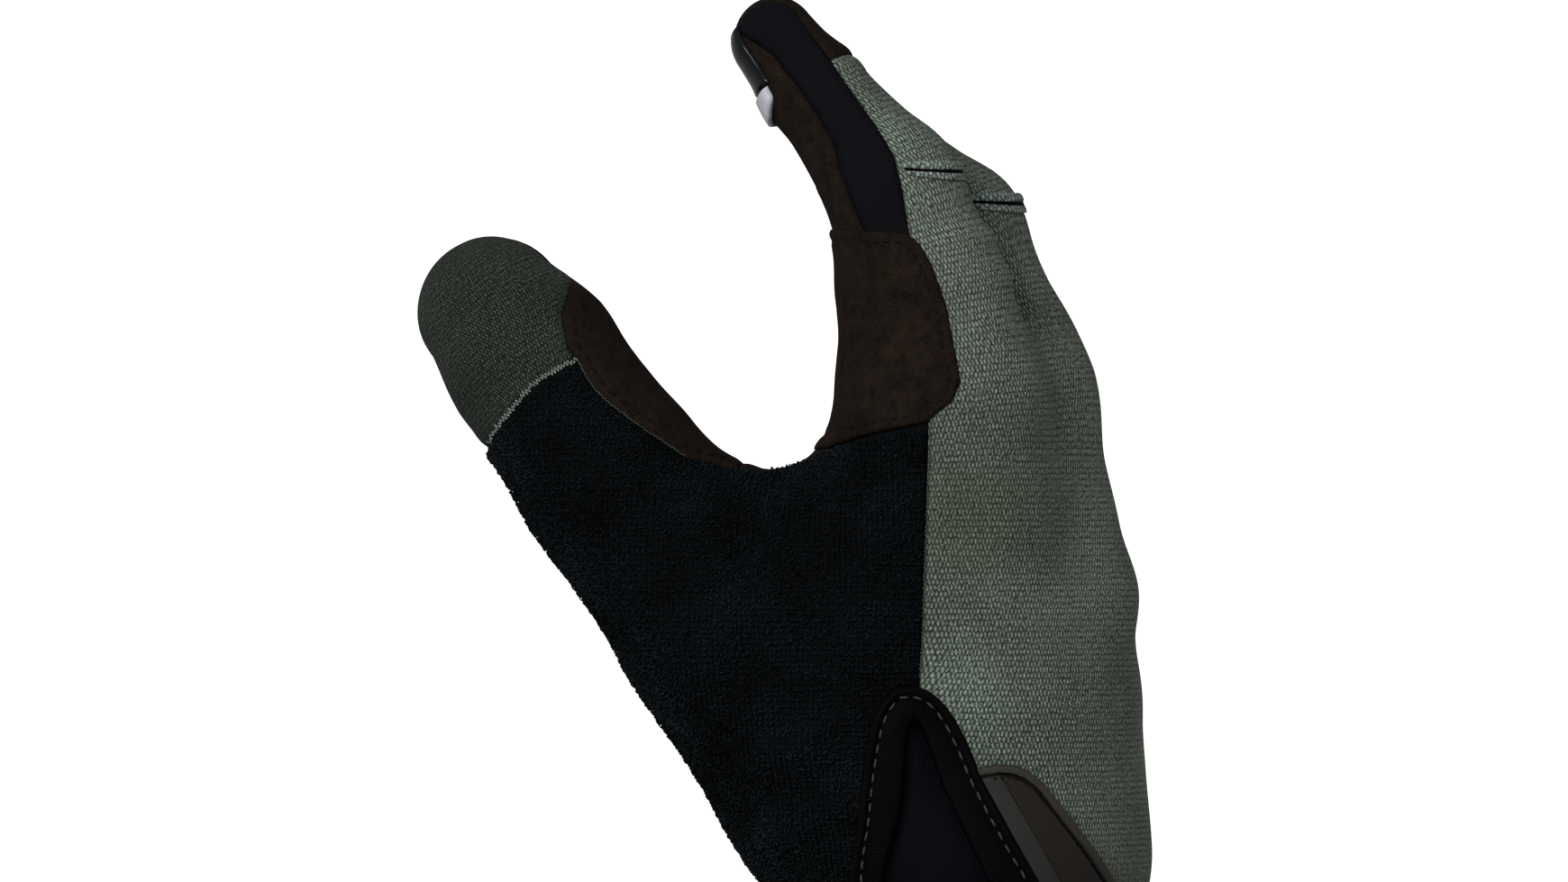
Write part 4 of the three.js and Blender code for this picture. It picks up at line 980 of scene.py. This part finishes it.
# Soft folds over the cloth: from side, height to side, height, half width, lift. They fade out
# over this depth towards the far side.
FOLD_FADE = 8
FOLDS = [
    (-47, 47, -28, 56, 2.6, 0.9),
    (-45, 40, -27, 49, 2.4, -0.7),
    (-43, 34, -26, 42, 2.4, 0.8),
    (-38, 62, -26, 66, 3.0, 0.5),
    (-13, 139, -2, 141, 2.0, 0.5),
    (-10, 131, 3, 134, 2.2, 0.4),
    (-14, 147, -7, 149, 1.8, 0.4),
    (-84, 112, -80, 122, 2.4, 0.35),
]


def fold_height(points):
    """Low ridges and hollows along short lines of the side view, on the side that is seen."""
    total = np.zeros(len(points))
    for a_side, a_height, b_side, b_height, width, lift in FOLDS:
        step = np.array([b_side - a_side, b_height - a_height])
        distance = off_length(on_view(points) - (a_side, a_height), step)
        total += lift * np.exp(-(distance / width) ** 2)
    return total * ramp(points @ TO_VIEWER, FOLD_FADE)


def soft_waves(points):
    """Very low uneven swells of the cloth."""
    x, y, z = points.T
    return 0.16 * np.sin(x * 0.21 + z * 0.13) * np.sin(y * 0.17 - z * 0.19 + 1.3)


raw_points, raw_quads = sampled_form()
raw_points = evened(raw_points, raw_quads, 2)
form = (raw_points, split_quads(raw_points, raw_quads))
form_places = panel_places(raw_points)
form_notch = notch_place(raw_points)

# Panel of the solids: name in the scene, material, slot, on the thumb or not.
PANELS = {
    "back_panel": ("knit_back", KNIT, "knit", False),
    "palm_panel": ("suede_palm", SUEDE, "suede", False),
    "thumb_back": ("knit_thumb_tip", THUMB_KNIT_SHADED, "knit", True),
    "thumb_front": ("suede_thumb", SUEDE, "suede", True),
    "terry_panel": ("terry_cloth", TERRY, "terry", True),
    "index_side_strip": ("index_stretch_side", STRETCH, "stretch", False),
    "fourchette_index_middle": ("stretch_between_index_and_middle", STRETCH, "stretch", False),
    "fourchette_middle_ring": ("stretch_between_middle_and_ring", STRETCH, "stretch", False),
    "fourchette_ring_little": ("stretch_between_ring_and_little", STRETCH, "stretch", False),
    "little_side_strip": ("little_stretch_side", STRETCH, "stretch", False),
}
NOTCH_LAP = 1.5
SEAM_GAP = 0.02
PANEL_THICKNESS = CLOTH - 0.1


def panel_measure(places, notch, points, name):
    above_hem = points[:, 2] - CUFF_HEM_HEIGHT
    return least(places[name], NOTCH_LAP - notch, above_hem) - SEAM_GAP


def seam_relief(distance):
    """The cloth dips where it is sewn in and swells a little beside the seam."""
    return -0.3 * np.exp(-(distance / 0.55) ** 2) + 0.15 * np.exp(-((distance - 1.9) / 1.2) ** 2)


# The loops of the terry: how many, how far from its seams, how much they lean.
LOOP_COUNT = 11000
LOOP_MARGIN = 0.6
LOOP_LEAN = 0.28

for node, (name, material, slot, on_thumb) in PANELS.items():
    points, triangles = cut(*form, panel_measure(form_places, form_notch, raw_points, node))
    distance = panel_measure(panel_places(points), notch_place(points), points, node)
    distance = np.maximum(distance, 0)
    height = seam_relief(distance) + fold_height(points) + soft_waves(points)
    shape = lifted(points, height), triangles
    piece(name, shape, material, [node], PANEL_THICKNESS, on_thumb, merge=0.05)
    if node == "terry_panel":
        terry_points = points[distance > LOOP_MARGIN]
        terry_height = height[distance > LOOP_MARGIN]

spread = rng.permutation(len(terry_points))[:LOOP_COUNT]
origins = lifted(terry_points[spread], terry_height[spread])
up = unit(unit(slope(origins)) + rng.normal(0, LOOP_LEAN, origins.shape))
t = np.linspace(0, math.pi, 4)
arch = np.stack([-0.36 * np.cos(t), 0 * t, 0.75 * np.sin(t) - 0.1], 1)
loop_shape = tube(arch, [0.2, 0.17, 0.17, 0.2], 3, (0, 1, 0))
turns = rng.normal(0, 1, origins.shape)
loops = repeated(*loop_shape, origins, turns, up, rng.uniform(0.75, 1.25, len(origins)))
piece("terry_loops", loops, LOOPS, on_thumb=True)

# The hem round the wrist opening. Its upper edge goes on under the panels.
HEM_UNDERLAP = 3
hem_top = CUFF_HEM_HEIGHT + HEM_UNDERLAP - raw_points[:, 2]
hem_measure = least(raw_points[:, 2], hem_top, NOTCH_LAP - form_notch)
points, triangles = cut(*form, hem_measure)
rise = points[:, 2] - CUFF_HEM_HEIGHT
edge = np.minimum(points[:, 2], np.maximum(-rise, 0))
height = 0.2 - 0.35 * np.exp(-(edge / 0.9) ** 2) + 0.12 * np.sin(points[:, 2] * TURN / 1.4)
height -= 0.75 * ramp(rise + 0.35, 0.4)
shape = lifted(points, height), triangles
piece("cuff_hem_band", shape, HEM, ["cuff_hem"], CLOTH, merge=0.05)



def gusset_measure(points):
    return np.minimum(notch_place(points) + 2.6, points[:, 2] - 0.2)


# The gusset in the wrist notch, a smooth cloth that bows out a little between the hem's edges.
points, triangles = cut_region(gusset_measure, 1)
inner = inside_of(HEM_INNER_EDGE, points)
height = -1.5 + 1.1 * (1 - np.exp(-np.maximum(inner, 0) / 3.0))
shape = lifted(points, height), triangles
piece("notch_gusset_cloth", shape, GUSSET, ["notch_gusset"], 1.0, merge=0.04)

# The hem of the notch: a rolled edge outside, a ribbed band inside.
HEM_COUNT = 420
BAND_START = 1.3
hem_places = np.linspace(0, len(NOTCH_OUTLINE) - 1, HEM_COUNT)
outer_line = curve_at(NOTCH_OUTLINE, hem_places)
inner_line = curve_at(HEM_INNER_EDGE, hem_places)
across_way = unit(inner_line - outer_line)
band_width = np.linalg.norm(inner_line - outer_line, axis=1)[:, None] - BAND_START
piping = np.linspace(-0.5, 1.15, 9)
band = np.linspace(0, 1, 17)
across = np.concatenate([np.tile(piping, (HEM_COUNT, 1)), BAND_START + band * band_width], 1)
roll = 0.5 + 1.0 * np.sqrt(np.maximum(1 - ((piping - 0.35) / 0.86) ** 2, 0))
roll[0], roll[-1] = 0.1, 0.55
swell = 0.62 + 0.75 * np.sin(ramp(band - 0.12, 0.88) * math.pi * 0.86) ** 0.7
swell[-1] = -0.9
keep = outer_line[:, 1] > 0.3
places = (outer_line[:, None] + across_way[:, None] * across[..., None])[keep]
grid = lifted(seen(*np.moveaxis(places, 2, 0)), np.concatenate([roll, swell]))
run = lengths_along(outer_line)[keep][:, None]
hem_cloth = np.stack(np.broadcast_arrays(run, across[keep]), -1).reshape(-1, 2)
shape = grid.reshape(-1, 3), grid_faces(*grid.shape[:2])
piece("notch_hem_band", shape, HEM, ["notch_hem"], 0.5, cloth=hem_cloth)


def patch_measure(points):
    from_far_side = points[:, 0] - FINGERS["index"][KNUCKLE][2] + 2
    return np.minimum(inside_of(PATCH_OUTLINE, points), from_far_side)


# The suede patch on the index finger, its edge turned down, dented where it is stitched.
PATCH_SEAM = 1.9
points, triangles = cut_region(patch_measure, 1)
inner = np.maximum(patch_measure(points), 0)
dent = 0.22 * np.exp(-((inner - PATCH_SEAM) / 0.5) ** 2)
height = 0.2 + 0.6 * (1 - np.exp(-inner / 0.35)) - dent + soft_waves(points)
shape = lifted(points, height), triangles
piece("index_suede_patch", shape, SUEDE, ["index_side_patch"], 1.0, merge=0.04)

# The closure tab: a flat rim along its free edge, a groove inside it and a field with a flat
# bevel along the notch.
RIM_WIDTH = 1.55
FIELD_START = 1.5
GROOVE_WIDTH = 1.9
BEVEL_WIDTH = 3.1


def tab_measure(points):
    return np.minimum(-notch_place(points) - 0.4, points[:, 0] + 14)


def rim_distance(points):
    return inside_of(TAB_OUTLINE, points)


points, triangles = region(lambda p: np.minimum(tab_measure(p), rim_distance(p)), 2)
bevel, inner = tab_measure(points), rim_distance(points)
on_rim = least(bevel, inner, RIM_WIDTH - inner)
rim_points, rim_triangles = cut(points, triangles, on_rim)
rim_inner = rim_distance(rim_points)
height = 0.95 * ramp(rim_inner, 0.25) ** 0.6 * ramp(RIM_WIDTH - rim_inner, 0.2) ** 0.6
shape = lifted(rim_points, HEM_LEVEL + 0.3 + height), rim_triangles
piece("tab_rim", shape, RIM, ["closure_tab_rim"], 0.8, merge=0.03)
points, triangles = cut(points, triangles, np.minimum(bevel, inner - FIELD_START))
bevel, inner = tab_measure(points), rim_distance(points)
past_groove = ramp(inner - GROOVE_WIDTH, 0.3)
height = HEM_LEVEL + 0.1 + 0.75 * past_groove
height += 0.4 * ramp(bevel - BEVEL_WIDTH, 0.25) * past_groove
field = bevel - BEVEL_WIDTH
for name, material, measure in (("tab_field", RUBBER, field), ("tab_bevel", BEVEL, -field)):
    shape = cut(lifted(points, height), triangles, measure)
    piece(name, shape, material, ["closure_tab"], 0.8, merge=0.03)

# Rows of stitches: each with its paths, with the length, pitch, radius and lift of its stitches,
# with its thread and its slot.
notch_rows = [row for row in NOTCH_OUTLINE if row[1] > -3]
patch_rows = [*PATCH_OUTLINE[1:11], (-28, 105)]
tab_rows = [(-3.6, 45.9), (-1, 46.1), (2.2, 45.4)]
thumb_rows = [*THUMB_EDGE[2:5], *TERRY_TOP[5:8], (-49, 99.8)]
notch_path = side_path(notch_rows, 1.45)
patch_paths = [side_path(patch_rows, PATCH_SEAM), side_path(patch_rows[8:], 3.7)]
tab_path = seen(*smooth_line(tab_rows, 0.5).T)
thumb_path = side_path(thumb_rows, -1.6)
SEAMS = {
    "notch_hem_stitches": ([notch_path], (1.7, 2.6, 0.2, HEM_LEVEL + 0.3), HEM_THREAD, "stretch"),
    "patch_stitches": (patch_paths, (1.4, 2.1, 0.2, 0.68), DARK_THREAD, "suede"),
    "tab_stitches": ([tab_path], (0.7, 1.2, 0.16, HEM_LEVEL + 1.15), DARK_THREAD, "rim"),
    "thumb_suede_stitches": ([thumb_path], (1.8, 2.6, 0.24, 0.1), DARK_THREAD, "suede"),
}
for name, (paths, sizes, thread, slot) in SEAMS.items():
    piece(name, joined([stitches(path, *sizes) for path in paths]), thread)

# Overlocked edges: each with its line, with the width, pitch, radius and lift of its thread, with
# its thread and its slot.
back_rows = [(-14.2, 107), (-15, 87), (-15.5, 71.5), (-16, 63.5)]
EDGES = {
    "thumb_overlock": (TERRY_TOP[1:5], (0.85, 0.62, 0.085, 0.1), PALE_THREAD, "knit"),
    "thumb_edge_thread": (TERRY_TOP[4:8], (0.16, 0.7, 0.075, 0.0), EDGE_THREAD, "suede"),
    "back_edge_thread": (back_rows, (0.3, 0.7, 0.09, 0.02), EDGE_THREAD, "knit"),
}
for name, (line, sizes, thread, slot) in EDGES.items():
    piece(name, zigzag(line, *sizes), thread)


# The glossy pad under the tip of the index finger and its pale lower end.
PAD_GRID = 34, 30


def pad_sheet(start, stop, half_width, lift, rounded):
    """A strip of the palm side of the last finger length, with its far corners rounded off."""
    run = finger_runs[0]
    way = -unit(run.steps[-1])
    tip = run.centres[-1] + run.steps[-1] * 0.7
    u = np.linspace(0, 1, PAD_GRID[0])[:, None]
    v = np.linspace(-1, 1, PAD_GRID[1])[None]
    width = half_width * (1 - rounded * ramp(u - 0.35, 0.65) ** 2.5)
    radius = run.radii[-2]
    turn = v * np.arcsin(FINGER_SQUEEZE * width / radius)
    beside_way = radius * np.sin(turn) / FINGER_SQUEEZE
    along = start + (stop - start) * u
    under = radius * np.cos(turn)
    points = tip + way * along[..., None] - run.backs[-1] * under[..., None]
    crown = np.minimum(1 - np.abs(v), np.minimum(u, 1 - u) * 2 + 0 * v)
    height = lift * (0.2 + 0.8 * ramp(crown, 0.12) ** 0.5)
    return laid(points + ACROSS * beside_way[..., None], height)


gloss_pad = pad_sheet(0, 14.5, 6.6, 0.8, 0.0)
piece("fingertip_gloss_pad", gloss_pad, GLOSS, ["fingertip_pad"], 0.5)
pale_end = pad_sheet(14.7, 19.5, 6.2, 1.2, 0.6)
piece("fingertip_pale_end", pale_end, PALE, ["fingertip_pad_end"], 0.5)

# Flex slots of the finger backs: a folded lip, a nearly black sheet under it for the slit's
# stretch insert, its colour painted shade, and a low fold below. The folds are a paler knit, a
# painted highlight. Each with its place over the joint, half width, lift, material and slot.
FOLD_GRID = 60, 12
FOLD_SHEETS = {
    "lip": (0.0, 1.15, 0.38, LIP_KNIT_HIGHLIT, "knit"),
    "slit": (-0.95, 1.05, 0.02, SLIT_SHADE, "stretch"),
    "lower_lip": (-1.85, 0.9, 0.1, LIP_KNIT_HIGHLIT, "knit"),
}

for finger, run in zip(FINGERS, finger_runs):
    before, after = run.steps[MIDDLE_JOINT - 1], run.steps[MIDDLE_JOINT]
    forward = unit(unit(before) + unit(after))
    back = unit(run.backs[MIDDLE_JOINT - 1] + run.backs[MIDDLE_JOINT])
    radius = run.radii[MIDDLE_JOINT]
    half_span = FOLD_HALF_SPAN * radius / finger_runs[0].radii[MIDDLE_JOINT]
    u = np.linspace(-1, 1, FOLD_GRID[0])[:, None]
    v = np.linspace(-0.5, 0.5, FOLD_GRID[1])[None]
    beside_way = half_span * (0.1 + 0.9 * u) + 0 * v
    over = np.sqrt(radius ** 2 - (FINGER_SQUEEZE * beside_way) ** 2)
    ends = np.sqrt(np.maximum(1 - np.abs(u) ** 5, 0))
    for label, (centre, width, lift, material, slot) in FOLD_SHEETS.items():
        rise = FOLD_RISE[finger] + centre * (1 - 0.35 * np.abs(u) ** 3) + width * ends * v
        along = (rise - back[2] * over) / forward[2]
        points = run.centres[MIDDLE_JOINT] + forward * along[..., None] + back * over[..., None]
        height = 0.12 + lift * ends * np.sqrt(np.maximum(1 - (2 * v) ** 2, 0))
        shape = laid(points + ACROSS * beside_way[..., None], height)
        node = [f"knuckle_fold_{finger}"] if label == "lip" else []
        piece(f"{finger}_knuckle_{label}", shape, material, node, 0.3)


# Stage, light and camera.


WHITE = (1, 1, 1, 1)


def stage_finish():
    """A nearly white matt sheet that also glows."""
    f = Finish("pale stage", Specular_IOR_Level=0.0, Emission_Color=WHITE, Emission_Strength=0.9)
    tone = f.noise(f.place, 3.0, 2)
    pale = f.mix(tone, (0.86, 0.86, 0.86, 1), (0.88, 0.88, 0.88, 1))
    return f.surface(pale, 0.9 + tone * 0.05)


def backdrop():
    """A floor below the glove that turns up into a wall far behind it, in one sheet."""
    t = np.linspace(0, 1, 40)
    bend = ramp(t - 0.4, 0.35) * math.pi / 2
    radius = 1.5
    flat = ramp(t, 0.4) * 12 - 4.0
    away = flat + radius * np.sin(bend)
    height = -0.06 + radius * (1 - np.cos(bend)) + ramp(t - 0.75, 0.25) * 4
    across = np.linspace(-6, 6, 30)
    points = -TO_VIEWER * away[:, None, None] + UP * height[:, None, None]
    points = points + RIGHT * across[None, :, None]
    faces = grid_faces(*points.shape[:2])
    mesh = smooth_mesh("backdrop", points.reshape(-1, 3), faces, stage_finish())
    made = in_scene("backdrop", mesh)
    made.visible_diffuse = False
    made.visible_glossy = False


backdrop()


def direction(way):
    """The turn that points a camera or light along a way, upright."""
    x, y, z = unit(way)
    return (math.acos(-z), 0.0, math.atan2(-x, y))


# The place in metres that the camera and the lights are turned to.
AIM = np.array([0.01358, -0.03731, 0.1047])
CAMERA_DISTANCE = 3.6
CAMERA_LENS = 469.2


def area_light(name, place, size, power, colour):
    """A square light that shines at the aim from a place given from it."""
    light = bpy.data.lights.new(name, "AREA")
    light.shape = "SQUARE"
    light.size = size
    light.energy = power
    light.color = colour
    made = in_scene(name, light)
    made.location = AIM + place
    made.rotation_euler = direction(-place)


area_light("key", TO_VIEWER * 0.95 - RIGHT * 0.4 + UP * 0.45, 0.5, 11, (1, 1, 1))
area_light("fill", TO_VIEWER * 0.5 + RIGHT * 1.0 + UP * 0.1, 0.6, 0.6, (1, 0.82, 0.55))
world = bpy.data.worlds.new("studio")
world.use_nodes = True
background = world.node_tree.nodes["Background"]
background.inputs["Color"].default_value = WHITE
background.inputs["Strength"].default_value = 0.4
bpy.context.scene.world = world
bpy.context.scene.view_settings.view_transform = "Standard"

camera_data = bpy.data.cameras.new("camera")
camera_data.sensor_width = 36
camera_data.lens = CAMERA_LENS
camera = in_scene("camera", camera_data)
camera.location = AIM + TO_VIEWER * CAMERA_DISTANCE
camera.rotation_euler = direction(-TO_VIEWER)
bpy.context.scene.camera = camera
